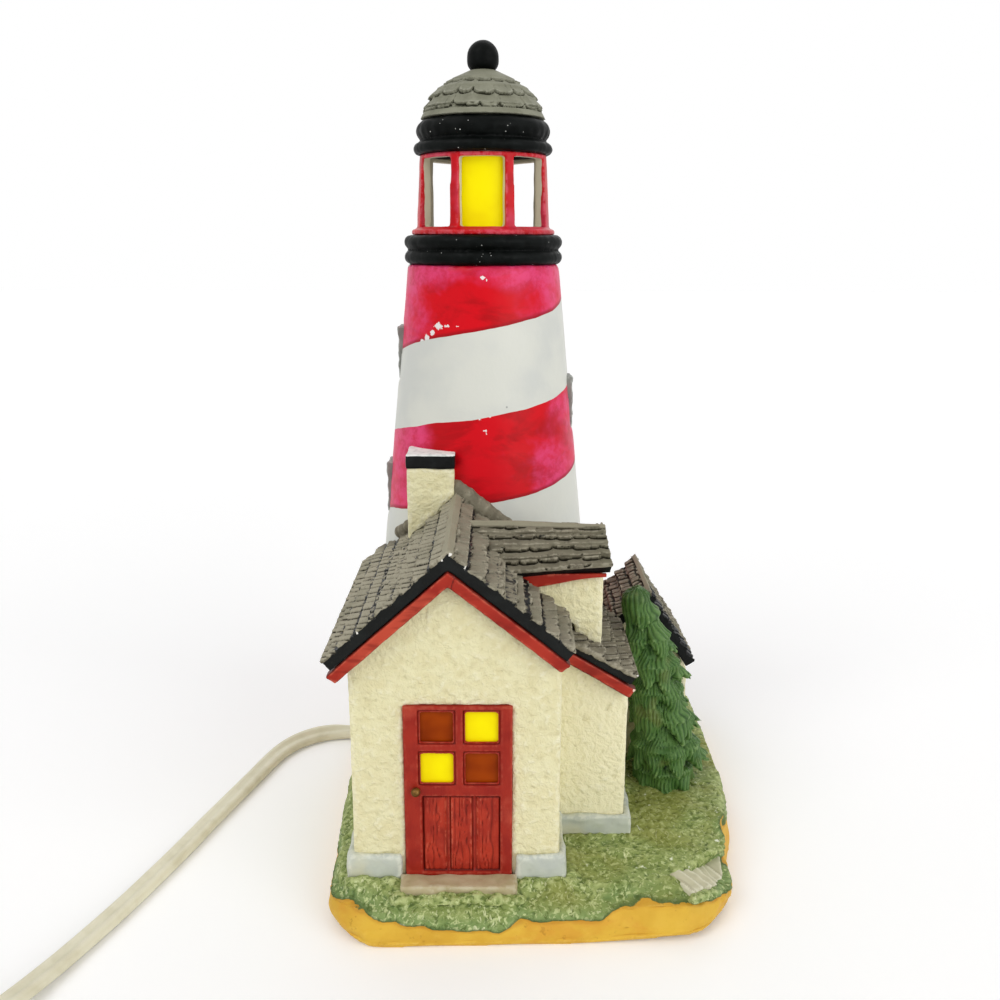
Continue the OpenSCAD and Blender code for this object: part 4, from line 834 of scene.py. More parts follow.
def rim_tuck(place):
    """How the base's foot turns in at its front corners."""
    front = soft_step(place.y, -34, -58)
    left = soft_step(place.x, -38, -50) * front * soft_step(place.z, 5, 0) * 1.5
    right = soft_step(place.x, 30, 46) * front * soft_step(place.z, 6, 0) * 1.2
    side = soft_step(place.x, 36, 45) * soft_step(place.y, -22, -34) * soft_step(
        place.z, 12.5, 10) * 1.7
    return Vector((0.7 * (left - right) - side, 0.7 * (left + right), 0))


def foot_lift(place):
    """How far the base's lower rim lifts off the table at its front corners."""
    corner = max(soft_step(place.x, -36, -50), soft_step(place.x, 8, 34))
    return 1.5 * corner * soft_step(place.y, -36, -56) * soft_step(place.z, 4, 0.3)


def sunk(place):
    """How far the front of the garden lies below the CAD part's level."""
    return -1.7 * soft_step(place.y, -30, -48) * soft_step(place.z, 7, 11) * soft_step(
        place.z, 38, 18)


def grass_relief(place, normal):
    if normal.z < -0.35:
        return 0.0
    grassy = soft_step(turf_height(place), -0.4, 0.35)
    tufts = 0.8 * (0.3 - abs(cloud(place, 1.5, 1))) + 0.4 * cloud(place, 5.5, 5) + 0.15
    sand = 0.55 * cloud(place, 8) + 0.3 * cloud(place, 3.5, 4) - 0.35
    return grassy * tufts + (1 - grassy) * sand


def bank_lumps(form):
    """Turf that swells against the plinths, the door slab and the steps."""
    rng = random.Random(14)
    for start, end, rise in TURF_RUNS:
        start, end = Vector(start), Vector(end)
        count = max(2, int((end - start).length / 2.4))
        for i in range(count + 1):
            flat = start.lerp(end, i / count)
            size = rng.uniform(1.3, 2.0)
            blob(form, (flat.x, flat.y, GROUND_Z - 0.7 + rise * rng.uniform(0.3, 1)),
                 (size * 1.2, size, 1.3))
    for x, y in FRONT_CORNER:
        blob(form, (x, y, 5.2), (2.6, 2.6, 2.6), 3)
    turn = math.radians(STEPS_TURN)
    for i in range(6):
        way = -1.0 + i * 1.9
        blob(form, (STEPS_AT[0] + way * math.cos(turn) + 0.6,
                    STEPS_AT[1] + way * math.sin(turn) - 0.6,
                    11.4 - max(0.0, way - 1) * 0.34 + rng.uniform(-0.2, 0.2)), (1.7, 1.7, 1.2))


def settled(place):
    """How the bank's points move: down in the front garden, in and up at its foot."""
    dip = 0.8 * soft_step(place.y, -24, -33) * soft_step(place.y, -44, -36) * soft_step(
        place.z, 7, 11)
    return rim_tuck(place) + Vector((0, 0, sunk(place) - dip + foot_lift(place)))


def cut_at(form, height, above):
    """Keeps the part of a form above or below a height, with a flat face over the cut."""
    bmesh.ops.bisect_plane(
        form, geom=form.verts[:] + form.edges[:] + form.faces[:], dist=0.00015,
        plane_co=(0, 0, height * MM), plane_no=(0, 0, 1), clear_inner=above,
        clear_outer=not above)
    rim = [e for e in form.edges if e.is_boundary]
    bmesh.ops.triangle_fill(form, edges=rim, use_beauty=True)
    bmesh.ops.recalc_face_normals(form, faces=form.faces)
    return form


def ground():
    """The bank under everything: one skin, cut into its sand rim and its grass."""
    bank = solids_of("sand_base", "grass_mound")
    under = solids_of("stone_steps")
    bmesh.ops.translate(under, verts=under.verts, vec=(0, 0, -0.9 * MM))
    mesh = bpy.data.meshes.new("work")
    under.to_mesh(mesh)
    under.free()
    bank.from_mesh(mesh)
    bank_lumps(bank)
    bank = bent(carved(smoothed(fused(bank, 0.62), 1), grass_relief), settled)
    bank.normal_update()
    bank.to_mesh(mesh)
    bank.free()
    mark_hollows(mesh, reach=0.25)
    for name, above, finish, slot, node in (
            ("sand_rim", False, "sand_finish", "sand_paint", "sand_base"),
            ("grass_bank", True, "grass_finish", "grass_paint", "grass_mound")):
        form = bmesh.new()
        form.from_mesh(mesh)
        piece = made(name, cut_at(form, SEAM_Z, above), ground_finish(finish), slot, node)
        mark_points(piece, "turf", lambda p, n: turf_height(p))
        mark_points(piece, "bare", lambda p, n: 0.7 - math.hypot(
            (p.x + 33.5) / 7, (p.z - 5.4) / 1.7) if p.y < -50 else 0.0)
    bpy.data.meshes.remove(mesh)


# Walls, stones and door


def raised(place):
    """How far the right slope of the main roof lies above the CAD part's pitch."""
    return 0.1 * min(29.0, max(0.0, place.x - RIDGE_X)) * soft_step(place.z, 56.5, 62)


def wing_raised(place):
    """How far the wing's roof lies above the CAD part's pitch."""
    return 0.06 * min(20.0, max(0.0, place.x - WING_RIDGE_X)) * soft_step(place.z, 44, 50)


def wall_relief(place, normal):
    return 0.13 * cloud(place, 1.6) + 0.07 * cloud(place, 1.0, 4) + 0.2 * cloud(place, 16, 2)


def walls(finish):
    rises = {"cottage_walls": raised, "wing_walls": wing_raised}
    for node in ("cottage_walls", "wing_walls", "dormer_walls", "rear_house_walls", "chimney"):
        form = carved(worked(node, 0.6, 2), wall_relief)
        if node in rises:
            bent(form, lambda place: (0, 0, rises[node](place) + sunk(place)))
        piece = made(node + "_stucco", form, finish, "stucco", node, hollows=0.1)
        # The wing's walls get the pale mark, which paints light over their shade.
        mark_points(piece, "pale", lambda p, n: float(node == "wing_walls"))


def stones(name, node, finish, slot, grain=0.42, lump=0.28, rounds=4, squash=0.0):
    """A lumpy stone piece, whose top comes down by about squash millimetres."""
    form = carved(worked(node, grain, rounds),
                  lambda p, n: lump * cloud(p, 3) + lump * 1.5 * cloud(p, 7, 3) + 0.15)
    bent(form, lambda p: (0, 0, sunk(p) - squash * (
        soft_step(p.z, GROUND_Z, 18.8) + 0.8 * soft_step(p.z, 13.5, GROUND_Z))))
    return made(name, form, finish, slot, node, hollows=0.14)


def steps(finish):
    turn = math.radians(STEPS_TURN)

    def tread_share(place):
        """How far a place is along its tread, from the riser behind it to its nosing."""
        way = ((place.x - STEPS_AT[0]) * math.cos(turn)
               + (place.y - STEPS_AT[1]) * math.sin(turn)) / TREAD + 0.12 * cloud(place, 2.5, 3)
        return way - math.floor(way) if way < 5.4 else 0.5

    def relief(place, normal):
        share = tread_share(place)
        lip = soft_step(share, 0.62, 0.85) - soft_step(share, 0.15, 0.0)
        return 0.3 + 0.1 * lip * (normal.z > 0.4) + 0.14 * cloud(place, 2.4, 5)

    def tucked(place):
        deep = soft_step(place.z, 11, 8.5) * soft_step(place.x, 40, 44)
        return rim_tuck(place) + Vector((-2.2 * deep, 0.8 * deep, sunk(place)))
    form = carved(worked("stone_steps", 0.3, 2, 0.4), relief)
    shares = [tread_share(v.co / MM) for v in form.verts]
    piece = made("stone_treads", bent(form, tucked), finish, "step_paint", "stone_steps",
                 hollows=0.14)
    # The nosing mark carries a painted highlight and the riser mark a painted shade.
    store(piece.data, "nosing", [soft_step(share, 0.66, 0.86) for share in shares])
    store(piece.data, "riser", [soft_step(share, 0.3, 0.08) for share in shares])


def on_plank(place, margin=0.0):
    """Whether a place is on one of the door's three planks, margin inside their edges."""
    return (any(low + margin < place.x < high - margin for low, high in PLANKS)
            and PLANK_FOOT + margin < place.z < PLANK_TOP - margin)


def door_lines(place):
    """Grooves round the door's planks and panes, and the dark lines of its grain."""
    x, z = place.x, place.z
    groove = 0.0
    if z < PLANK_TOP + 2.6:
        for low, high in PLANKS:
            side = max(low - x, x - high, PLANK_FOOT - z, z - PLANK_TOP)
            groove = max(groove, soft_step(abs(side), 0.34, 0.08))
    for low in (-28.3, -18.0):
        for foot in (35.8, 46.1):
            side = max(low - x, x - low - PANE, foot - z, z - foot - PANE)
            groove = max(groove, soft_step(abs(side - 0.35), 0.3, 0.1) * 0.8)
    field = x + 0.7 * cloud((x * 0.5, 0, z * 0.16), 1.0, 2)
    for knot_x, knot_z in KNOTS:
        dx, dz = x - knot_x, z - knot_z
        ring = math.hypot(dx, dz / 2.4)
        near = math.exp(-(ring / 1.1) ** 2)
        field = field * (1 - near) + (knot_x + ring * 1.3) * near + (
            math.copysign(0.8, dx) * math.exp(-abs(dx) / 1.2 - abs(dz) / 3.6) * (1 - near))
    grain = 0.5 + 0.5 * math.cos(field * 2 * math.pi / 1.15)
    inner = on_plank(place, 0.3) and z > PLANK_FOOT + 0.4
    return groove, grain ** 3 * (1.0 if inner else 0.25)


def door_relief(place, normal):
    if normal.y > -0.5:
        return 0.0
    groove, grain = door_lines(place)
    lip = soft_step(abs(place.z - 13.9), 0.7, 0.2) * 0.12
    return (0.12 * cloud(place, 2.6) - 0.45 * groove - 0.2 * grain + lip
            - (0.22 if on_plank(place) else 0.0))


def door(finish, knob):
    form = carved(worked("door", 0.28, 1, 0.4), door_relief)
    form.normal_update()
    # gaps: painted shade in the grooves, and the grain's own dark lines.
    gaps, frames = [], []
    for v in form.verts:
        groove, grain = door_lines(v.co / MM)
        gaps.append(max(groove, grain * 0.6) if v.normal.y < -0.2 else 0.0)
        frames.append(0.0 if on_plank(v.co / MM) else 1.0)
    bent(form, lambda p: (0, 0, sunk(p)))
    leaf = made("door_leaf", form, finish, "door_paint", "door", hollows=0.12)
    store(leaf.data, "gap", gaps)
    store(leaf.data, "frame", frames)
    made("door_knob_turned", worked("door_knob", 0.16, 2), knob, "knob_paint", "door_knob",
         sharp=0, hollows=0.1)


# Roofs


class Courses:
    """Rows of hand-cut shingles on a slope: how proud each point is, and how much painted shade
    lies in its gap.

    step is the height of a row and width that of a shingle. lift is how far its lower end
    stands out, joint and butt are the widths of the gaps beside and below it, and shades says
    how deep those two are. slant leans the side joints, corner rounds the lower corners, and
    grain is the depth of the streaks.
    """

    def __init__(self, seed, step, width, lift=0.7, joint=0.42, butt=0.62, slant=0.8,
                 corner=0.7, grain=0.1, shades=(1.0, 1.0)):
        self.seed, self.step, self.width, self.lift = seed, step, width, lift
        self.joint, self.butt, self.slant = joint, butt, slant
        self.corner, self.grain = corner, grain
        self.side_shade, self.butt_shade = shades
        self.rows = {}

    def row(self, k):
        """A row's side joints, with each shingle's lower end and level."""
        if k not in self.rows:
            rng = random.Random(self.seed * 97 + k)
            cuts = [-90 + rng.uniform(0, self.width)]
            while cuts[-1] < 120:
                cuts.append(cuts[-1] + self.width * rng.uniform(0.74, 1.28))
            self.rows[k] = cuts, [(rng.uniform(-0.13, 0.13) * self.step,
                                   rng.uniform(-0.12, 0.12), rng.uniform(-0.06, 0.06))
                                  for _ in cuts]
        return self.rows[k]

    def shingle(self, k, across):
        cuts, shapes = self.row(k)
        i = bisect.bisect(cuts, across) - 1
        left, right = across - cuts[i], cuts[i + 1] - across
        side = min(left, right)
        end, level, tilt = shapes[i]
        low = ((k + 1) * self.step + end + tilt * (left - right)
               - self.corner * max(0.0, 1 - side / 1.3) ** 2)
        return side, low, level + tilt * (left - right) * 0.5

    def at(self, along, down):
        across = along - self.slant * down
        first = math.floor(down / self.step)
        above = None
        for k in (first - 1, first, first + 1):
            side, low, level = self.shingle(k, across)
            if down <= low:
                break
            above = low
        start = k * self.step if above is None else above
        share = min(1.0, max(0.0, (down - start) / self.step))
        seam = soft_step(side, self.joint, self.joint * 0.4) * self.side_shade
        if self.side_shade < 1:
            seam *= soft_step(share, 0.55, 0.9)
        if above is not None:
            thick = self.butt * (1 + 0.35 * cloud((across, k * 7.0, 0), 2.5, 6))
            seam = max(seam, soft_step(down - above, thick, thick * 0.5) * self.butt_shade)
        streak = cloud((across, down * 0.22, k * 3.1), 0.55, 3)
        height = self.lift * (share - 0.35) + level + self.grain * streak - 0.55 * seam
        return height, max(seam, soft_step(streak, -0.25, -0.6) * 0.5)


def slope(pitch, side):
    """The way down a roof of a pitch, to the left (-1) or right (1) of its ridge."""
    turn = math.radians(pitch)
    return Vector((side * math.cos(turn), 0, -math.sin(turn)))


class Slope:
    """One side of a roof, from a point on its ridge, with the shingles that lie on it."""

    def __init__(self, start, along, down, courses, strip=0.0):
        self.start, self.along, self.down = Vector(start), Vector(along), Vector(down)
        self.out = self.along.cross(self.down).normalized()
        if self.out.z < 0:
            self.out = -self.out
        self.courses, self.strip = courses, strip

    def faces(self, normal):
        return normal.dot(self.out)

    def relief(self, place):
        """Height, gap and ridge strip at a place on the slope."""
        way = place - self.start
        along, down = way.dot(self.along), way.dot(self.down)
        if down < self.strip:
            rim = soft_step(down, self.strip - 0.5, self.strip)
            return 0.08 + 0.06 * cloud(place, 2.5, 8) - 0.2 * rim, rim * 0.3, 1.0 - rim
        height, gap = self.courses.at(along, down - self.strip)
        return height, gap, 0.0


def below_slope(place, ridge_x, ridge_z, pitch):
    """How far a place lies under the surface of a roof with its ridge along Y."""
    turn = math.radians(pitch)
    return (ridge_z - place.z) * math.cos(turn) - abs(place.x - ridge_x) * math.sin(turn)


def scallop(along, width, seed=0.0):
    """Rounded shingle ends along an edge, 0 to 1."""
    place = along / width + 0.25 * cloud((along, 0, 0), 6, seed)
    share = (place % 1.0) * 2 - 1
    return math.sqrt(max(0.0, 1 - share * share)) * (0.7 + 0.3 * cloud((along, 5, 0), 9, seed))


def clear_of_tower(place):
    """How far a place lies outside the tower's wall."""
    return math.hypot(place.x - TOWER[0], place.y - TOWER[1]) - tower_radius(place.z)


def tower_fillet(form, rng, height_at, first, last, radius, rise=0.3):
    """Clay pressed into the corner between a roof and the tower, from first to last degrees."""
    steps = int(abs(last - first) / 3)
    for i in range(steps + 1):
        turn = math.radians(first + (last - first) * i / steps)
        out = Vector((math.cos(turn), math.sin(turn)))
        z = height_at(TOWER[0] + out.x * 26.5, TOWER[1] + out.y * 26.5)
        reach = tower_radius(z) + 0.3
        place = (TOWER[0] + out.x * reach, TOWER[1] + out.y * reach,
                 z + rise + rng.uniform(-0.2, 0.3))
        wide = radius * rng.uniform(0.92, 1.1)
        blob(form, place, (wide, wide, radius * 1.2))


def dressed(form, slopes, edge_at, spots=()):
    """Cuts the shingles of the slopes into a form and returns its points' marks."""
    form.normal_update()
    marks = {"gap": [], "edge": [], "strip": [], "chip": [], "painted_highlight": []}
    moves = []
    for v in form.verts:
        place, normal = v.co / MM, v.normal
        side = max(slopes, key=lambda s: s.faces(normal))
        lit = soft_step(side.faces(normal), 0.55, 0.8) * soft_step(
            clear_of_tower(place), 1.5, 3.5)
        height, gap, strip = side.relief(place) if lit > 0 else (0.0, 0.0, 0.0)
        edge = edge_at(place, normal)
        bead = 0.3 * soft_step(edge, -0.1, 0.2) * (1 - lit)
        moves.append(side.out * (height + 0.1 * cloud(place, 3.5, 2)) * lit * MM
                     - normal * bead * MM)
        marks["gap"].append(gap * lit)
        marks["strip"].append(strip * lit)
        marks["edge"].append(edge)
        # Painted light: shingles on slopes facing left, towards the key lamp, and a little on
        # steep slopes facing right, are painted paler.
        marks["painted_highlight"].append(lit * (place.x < REAR_HOUSE_X) * (
            soft_step(-side.out.x, 0.3, 0.6) + 0.35 * soft_step(side.out.x, 0.56, 0.66)))
        marks["chip"].append(max(0.0, near_chip(place, spots)))
    for v, move in zip(form.verts, moves):
        v.co += move
    return form, marks


def roof_piece(name, form, finish, node, slopes, edge_at, grain=0.42, spots=(), bend=None):
    """A roof's shingles: edge_at tells black edge from slope, and bend warps the whole."""
    form, marks = dressed(smoothed(fused(form, grain), 1, 0.3), slopes, edge_at, spots)
    if bend:
        bent(form, bend)
    roof = made(name, form, finish, "shingle_paint", node, hollows=0.2)
    for mark, values in marks.items():
        store(roof.data, mark, values)


def main_roof(finish):
    rng = random.Random(4)
    form = solids_of("cottage_roof")
    pitch = math.radians(ROOF_PITCH)
    left = Courses(21, 4.4, 3.5, lift=0.4, joint=0.6, butt=0.35, slant=0.85, corner=0.5,
                   grain=0.12, shades=(1.0, 0.4))
    right = Courses(22, 4.6, 4.7, lift=0.8, joint=0.36, butt=0.5, slant=0.75, corner=0.9,
                    grain=0.12, shades=(0.7, 0.9))
    slopes = [Slope((RIDGE_X, GABLE_Y, RIDGE_Z), (0, 1, 0), slope(ROOF_PITCH, side), courses,
                    strip=2.0) for side, courses in ((-1, left), (1, right))]

    def height_at(x, y):
        return RIDGE_Z - abs(x - RIDGE_X) * math.tan(pitch)
    tower_fillet(form, rng, height_at, -146, -116, 1.5, 0.0)
    tower_fillet(form, rng, height_at, -114, -58, 2.4, 0.6)

    def edge_at(place, normal):
        along = abs(place.x - RIDGE_X) / math.cos(pitch)
        return (below_slope(place, RIDGE_X, RIDGE_Z, ROOF_PITCH) - 0.35
                - 0.6 * scallop(along, 4.8, 4))

    def bend(place):
        pull = soft_step(place.x, -6, 8) * 1.6
        return -pull * 0.74, 0, pull * 0.3 + raised(place)
    roof_piece("cottage_shingles", form, finish, "cottage_roof", slopes, edge_at, 0.4,
               COTTAGE_CHIPS, bend)


def wing_roof(finish):
    form = solids_of("wing_roof")
    pitch = math.radians(WING_PITCH)
    courses = Courses(23, 4.6, 3.8, lift=0.5, joint=0.5, butt=0.45, slant=0.7, corner=0.6,
                      grain=0.14, shades=(1.0, 0.6))
    slopes = [Slope((WING_RIDGE_X, -36.0, WING_RIDGE_Z), (0, 1, 0), slope(WING_PITCH, 1),
                    courses)]
    tower_fillet(form, random.Random(5), lambda x, y: WING_RIDGE_Z - (
        x - WING_RIDGE_X) * math.tan(pitch), -52, -42, 1.8)

    def edge_at(place, normal):
        depth = (WING_RIDGE_Z - place.z) * math.cos(pitch) - (
            place.x - WING_RIDGE_X) * math.sin(pitch)
        return depth - 1.9 + 0.05 * (place.x - 4) - 0.5 * scallop(place.x * 1.2, 4.6, 2)
    roof_piece("wing_shingles", form, finish, "wing_roof", slopes, edge_at,
               spots=[(23.2, -35.8, 54.6, 0.6)], bend=lambda place: (0, 0, wing_raised(place)))


def dormer_roof(finish):
    pitch = math.radians(DORMER_PITCH)
    slopes = [Slope((-22, DORMER_Y, DORMER_Z), (1, 0, 0),
                    (0, side * math.cos(pitch), -math.sin(pitch)),
                    Courses(seed, 3.0, 5.0, lift=0.8, joint=0.26, butt=0.5, slant=0.0,
                            corner=0.5, grain=0.05, shades=(0.5, 0.85)), strip=1.7)
              for side, seed in ((-1, 31), (1, 32))]

    def edge_at(place, normal):
        depth = (DORMER_Z - place.z) * math.cos(pitch) - abs(
            place.y - DORMER_Y) * math.sin(pitch)
        return depth - 0.7 - 0.3 * scallop(place.x, 4.9, 6)

    def bend(place):
        """The eaves spread towards the tower, and the ridge sags at its free end."""
        down = abs(place.y - DORMER_Y) / math.cos(pitch)
        reach = min(1.0, down / 13) * 2.0 * min(1.0, max(0.0, (15.9 - place.x) / 21))
        side = math.copysign(1, place.y - DORMER_Y)
        sag = -0.9 * soft_step(down, 4, 0) * soft_step(place.x, -10, 16)
        return (0.1 * max(0.0, down - 3) * soft_step(place.x, 11, 15.5),
                side * reach * math.cos(pitch), sag - reach * math.sin(pitch))
    roof_piece("dormer_shingles", solids_of("dormer_roof"), finish, "dormer_roof", slopes,
               edge_at, 0.36, [(15.8, -31, 80.3, 0.6)], bend)


def rear_roof(finish):
    slopes = [Slope((REAR_RIDGE_X, 1.0, REAR_RIDGE_Z), (0, 1, 0), slope(pitch, side),
                    Courses(seed, 3.4, 3.0, lift, joint=0.75, butt=1.0, slant=0.3,
                            corner=0.4, grain=0.05), strip=1.4)
              for side, pitch, seed, lift in ((-1, REAR_PITCHES[0], 41, 0.45),
                                              (1, REAR_PITCHES[1], 42, 0.2))]

    def edge_at(place, normal):
        pitch = REAR_PITCHES[place.x > REAR_RIDGE_X]
        depth = below_slope(place, REAR_RIDGE_X, REAR_RIDGE_Z, pitch)
        if place.x > REAR_RIDGE_X + 0.7:
            return min(8.5 - place.y + 0.8 * cloud(place, 3, 5), depth + 0.5)
        return depth - 0.6 - 0.3 * scallop(place.z, 4, 5)
    roof_piece("rear_house_shingles", solids_of("rear_house_roof"), finish, "rear_house_roof",
               slopes, edge_at, 0.4)


def boards(finish):
    """The red boards under the front gable, the wing's gable and the dormer's eave."""
    pitch = math.tan(math.radians(ROOF_PITCH))
    wing_pitch = math.tan(math.radians(WING_PITCH))

    def main_depth(place):
        return (RIDGE_Z - place.z) - abs(place.x - RIDGE_X) * pitch

    def wing_depth(place):
        return (WING_RIDGE_Z - place.z) - (place.x - WING_RIDGE_X) * wing_pitch

    def main_reach(place):
        left, right = soft_step(place.x, -38, -47) * 1.9, soft_step(place.x, -2, 5) * 0.6
        thin = 0.45 * soft_step(main_depth(place), 5.2, 7.4)
        return right - left, 0, thin - (left + right) * pitch + raised(place)

    def wing_reach(place):
        right = soft_step(place.x, 14, 21) * 1.6
        thin = 0.4 * soft_step(wing_depth(place), 4, 6)
        return right, 0, thin - right * wing_pitch + wing_raised(place)

    def fascia_reach(place):
        right = soft_step(place.x, -6, 15.5)
        high = (place.z - 75.4) / 2.7
        return 0, 0, high * 1.3 + (1 - high) * (0.2 + 3.0 * right)
    for node, depth_at, reach in (("cottage_bargeboard", main_depth, main_reach),
                                  ("wing_bargeboard", wing_depth, wing_reach),
                                  ("dormer_fascia", None, fascia_reach)):
        form = worked(node, 0.32, 3, 0.4)
        places = [v.co / MM for v in form.verts]
        depths = [depth_at(p) for p in places] if depth_at else [0.0] * len(places)
        top, foot = min(depths), max(depths)

        def mitre(place):
            """The joint between the two front boards, under the ridge."""
            return (node == "cottage_bargeboard") * 0.8 * math.exp(
                -((place.x - RIDGE_X - 0.9 - (place.z - 84) * 0.25) / 0.22) ** 2)

        def relief(place, normal):
            return 0.1 * cloud(place, 5) + 0.05 * cloud(place, 1.6, 2) - 0.2 * mitre(
                place) * (normal.y < -0.4)
        # lines: where the board's painted shade goes, along its top and foot edges and in the
        # mitre.
        lines = [max(soft_step(depth, foot - 0.5, foot - 0.2), mitre(place),
                     soft_step(depth, top + 0.5, top + 0.15) * 0.8) if depth_at else 0.0
                 for place, depth in zip(places, depths)]
        piece = made(node + "_boards", bent(carved(form, relief), reach), finish,
                     "board_paint", node, hollows=0.12)
        store(piece.data, "gap", lines)
        mark_points(piece, "chip", lambda p, n: near_chip(p, BOARD_CHIPS[node]))


# Tree


def fir_tree(finish):
    """A leaning fir of drooping boughs, each with needles pressed into the clay."""
    rng = random.Random(11)
    form = bmesh.new()

    def bough(base, tip, width, flat=0.8, taper=0.0):
        way = (tip - base) * MM
        turned = way.to_track_quat("Z", "Y").to_matrix().to_4x4()
        bmesh.ops.create_cone(
            form, cap_ends=True, segments=12, radius1=width * MM,
            radius2=width * taper * MM, depth=way.length,
            matrix=Matrix.Translation((tip + base) / 2 * MM) @ turned
            @ Matrix.Diagonal((1, flat, 1, 1)))
    for tier, (foot, top, reach, side, middle) in enumerate(BOUGHS):
        count = max(6, int(reach * 0.95))
        for i in range(count):
            turn = 2 * math.pi * (i + rng.uniform(-0.3, 0.3)) / count + tier * 0.6
            out = Vector((math.cos(turn), math.sin(turn), 0))
            spread = (reach if out.x > 0.3 else side * 0.9) * rng.uniform(0.9, 1.06)
            crown = Vector((middle - 1.2, TREE_Y, top - rng.uniform(0, 1.4))) + out * 0.6
            hip = Vector((middle, TREE_Y, foot + 4.2 + rng.uniform(0, 1.4))) + out * spread * 0.76
            tip = Vector((middle, TREE_Y, foot + rng.uniform(-0.6, 2.0))) + out * spread
            width = 1.9 + reach * 0.16
            bough(crown, hip, width * 0.7, 0.8, 1.35)
            bough(hip + (crown - hip) * 0.2, tip, width * 1.2, 0.62, 0.12)
    for x, z in TIPS:
        for turn, short in ((-0.75, 1.6), (-0.35, 0.4), (0.1, 0.0), (0.55, 0.8)):
            out = Vector((math.cos(turn), math.sin(turn), 0))
            root = Vector((x - 8, TREE_Y, z + 4.2 + rng.uniform(-0.5, 0.5)))
            tip = root + out * (8 - short) + Vector((0, 0, -4.2 + short * 0.4))
            bough(root, tip, 2.6, 0.7, 0.12)
    trunk = bmesh.ops.create_cone(
        form, cap_ends=True, segments=24, radius1=7.6 * MM, radius2=1.6 * MM, depth=53 * MM,
        matrix=Matrix.Translation((0.0312, TREE_Y * MM, 0.0388)))
    for v in trunk["verts"]:
        v.co.x += (0.0388 - v.co.z) * 0.15
    form = smoothed(fused(form, 0.44), 2, 0.4)

    def needle(place):
        """Grooves that fan down from the trunk, cut afresh on each tier."""
        tier = max([b for b in BOUGHS if place.z >= b[0] - 0.8], key=lambda b: b[0],
                   default=BOUGHS[0])
        turn = math.atan2(place.y - TREE_Y, place.x - tier[4])
        count = round(tier[2] * 5.6)
        fan = turn / (2 * math.pi) * count + 1.5 * cloud(place, 6, 3) + tier[0]
        return 0.5 + 0.5 * math.cos(fan * 2 * math.pi), (place.z - tier[0]) / (
            tier[1] - tier[0])
    cuts = [needle(v.co / MM) for v in form.verts]
    form = carved(form, lambda p, n: 0.3 * (0.5 - needle(p)[0] ** 2) + 0.45 * cloud(p, 3.2, 4))
    lowest = min(v.co.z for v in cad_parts["fir_tree"].data.vertices)
    for v in form.verts:
        v.co.z = max(v.co.z, lowest)
    tree = made("fir_tree_branches", form, finish, "tree_paint", "fir_tree", hollows=0.4)
    # The gap mark paints shade into the needle grooves and a highlight on the ridges between
    # them.
    store(tree.data, "gap", [cut ** 2 for cut, _ in cuts])
    store(tree.data, "shade", [soft_step(share, 0.45, 0.7) * 0.4 for _, share in cuts])


# Tower and lantern


def stripe_at(place):
    """Distance into a red stripe, and 1 where its lower edge is the nearest one."""
    turn = math.atan2(place.x - TOWER[0], TOWER[1] - place.y)
    height = place.z - STRIPE_CLIMB * turn / (2 * math.pi) + 3.35 * math.sin(turn)
    cycle = (height - STRIPE_FOOT) % STRIPE_STEP
    if cycle < RED_WIDTH:
        inside = min(cycle, RED_WIDTH - cycle)
    else:
        inside = -min(cycle - RED_WIDTH, STRIPE_STEP - cycle)
    return inside, 1.0 if cycle < RED_WIDTH / 2 or cycle > 34 else 0.0


def tower(finish, frames):
    form = carved(worked("tower_shell", 0.95, 2),
                  lambda p, n: 0.12 * cloud(p, 9) + 0.1 * cloud(p, 24, 3) + 0.3)
    shell = made("tower_wall", form, finish, "tower_paint", "tower_shell")
    mark_points(shell, "stripe", lambda p, n: stripe_at(p)[0])
    mark_points(shell, "lower", lambda p, n: stripe_at(p)[1])
    mark_points(shell, "chip", lambda p, n: near_chip(p, TOWER_CHIPS))

    # Painted sheen: the tower's left and right sides turn pink, and it is a little pinker near
    # its top.
    def pink_wear_and_sheen(place, normal):
        left = soft_step(place.x - TOWER[0], -6, -22)
        right = soft_step(place.x - TOWER[0], 0, 22)
        top = soft_step(place.z, 142, 150) * 0.2
        return (left * 0.36 + right * 0.32 + top) if place.z > 60 else 0.0
    mark_points(shell, "pink_wear_and_sheen", pink_wear_and_sheen)

    def inward(place):
        way = Vector((TOWER[0] - place.x, TOWER[1] - place.y, 0)).normalized()
        return way * (0.8 + 0.3 * cloud(place, 2))
    made("tower_windows", bent(worked("tower_window_frames", 0.3), inward), frames,
         "frame_paint", "tower_window_frames", hollows=0.1)


def rings(black):
    form = carved(worked("gallery_rings", 0.4),
                  lambda p, n: 0.14 * cloud(p, 5) + 0.1 * cloud(p, 2.2, 2))
    made("gallery_ring_pair", form, black, "black_paint", "gallery_rings", hollows=0.15)

    def arcade(place, normal):
        """Small dents side by side round the lower of the dome's rings."""
        turn = math.atan2(place.y - TOWER[1], place.x - TOWER[0])
        dent = math.cos(turn * 34) * 0.5 + 0.5
        low = max(0.0, 1 - abs(place.z - 183.6) / 1.6)
        return -0.16 * dent * low + 0.12 * cloud(place, 4) + 0.08 * cloud(place, 2, 2)
    made("dome_ring_pair", carved(worked("dome_rings", 0.4), arcade), black, "black_paint",
         "dome_rings", hollows=0.15)


def lantern(red):
    form = carved(worked("lantern_room", 0.35, 2), lambda p, n: 0.12 * cloud(p, 3.5))
    room = made("lantern_frame", form, red, "red_paint", "lantern_room", hollows=0.15)
    mark_points(room, "inside", lambda p, n: (16.5 - math.hypot(
        p.x - TOWER[0], p.y - TOWER[1])) * 0.6)


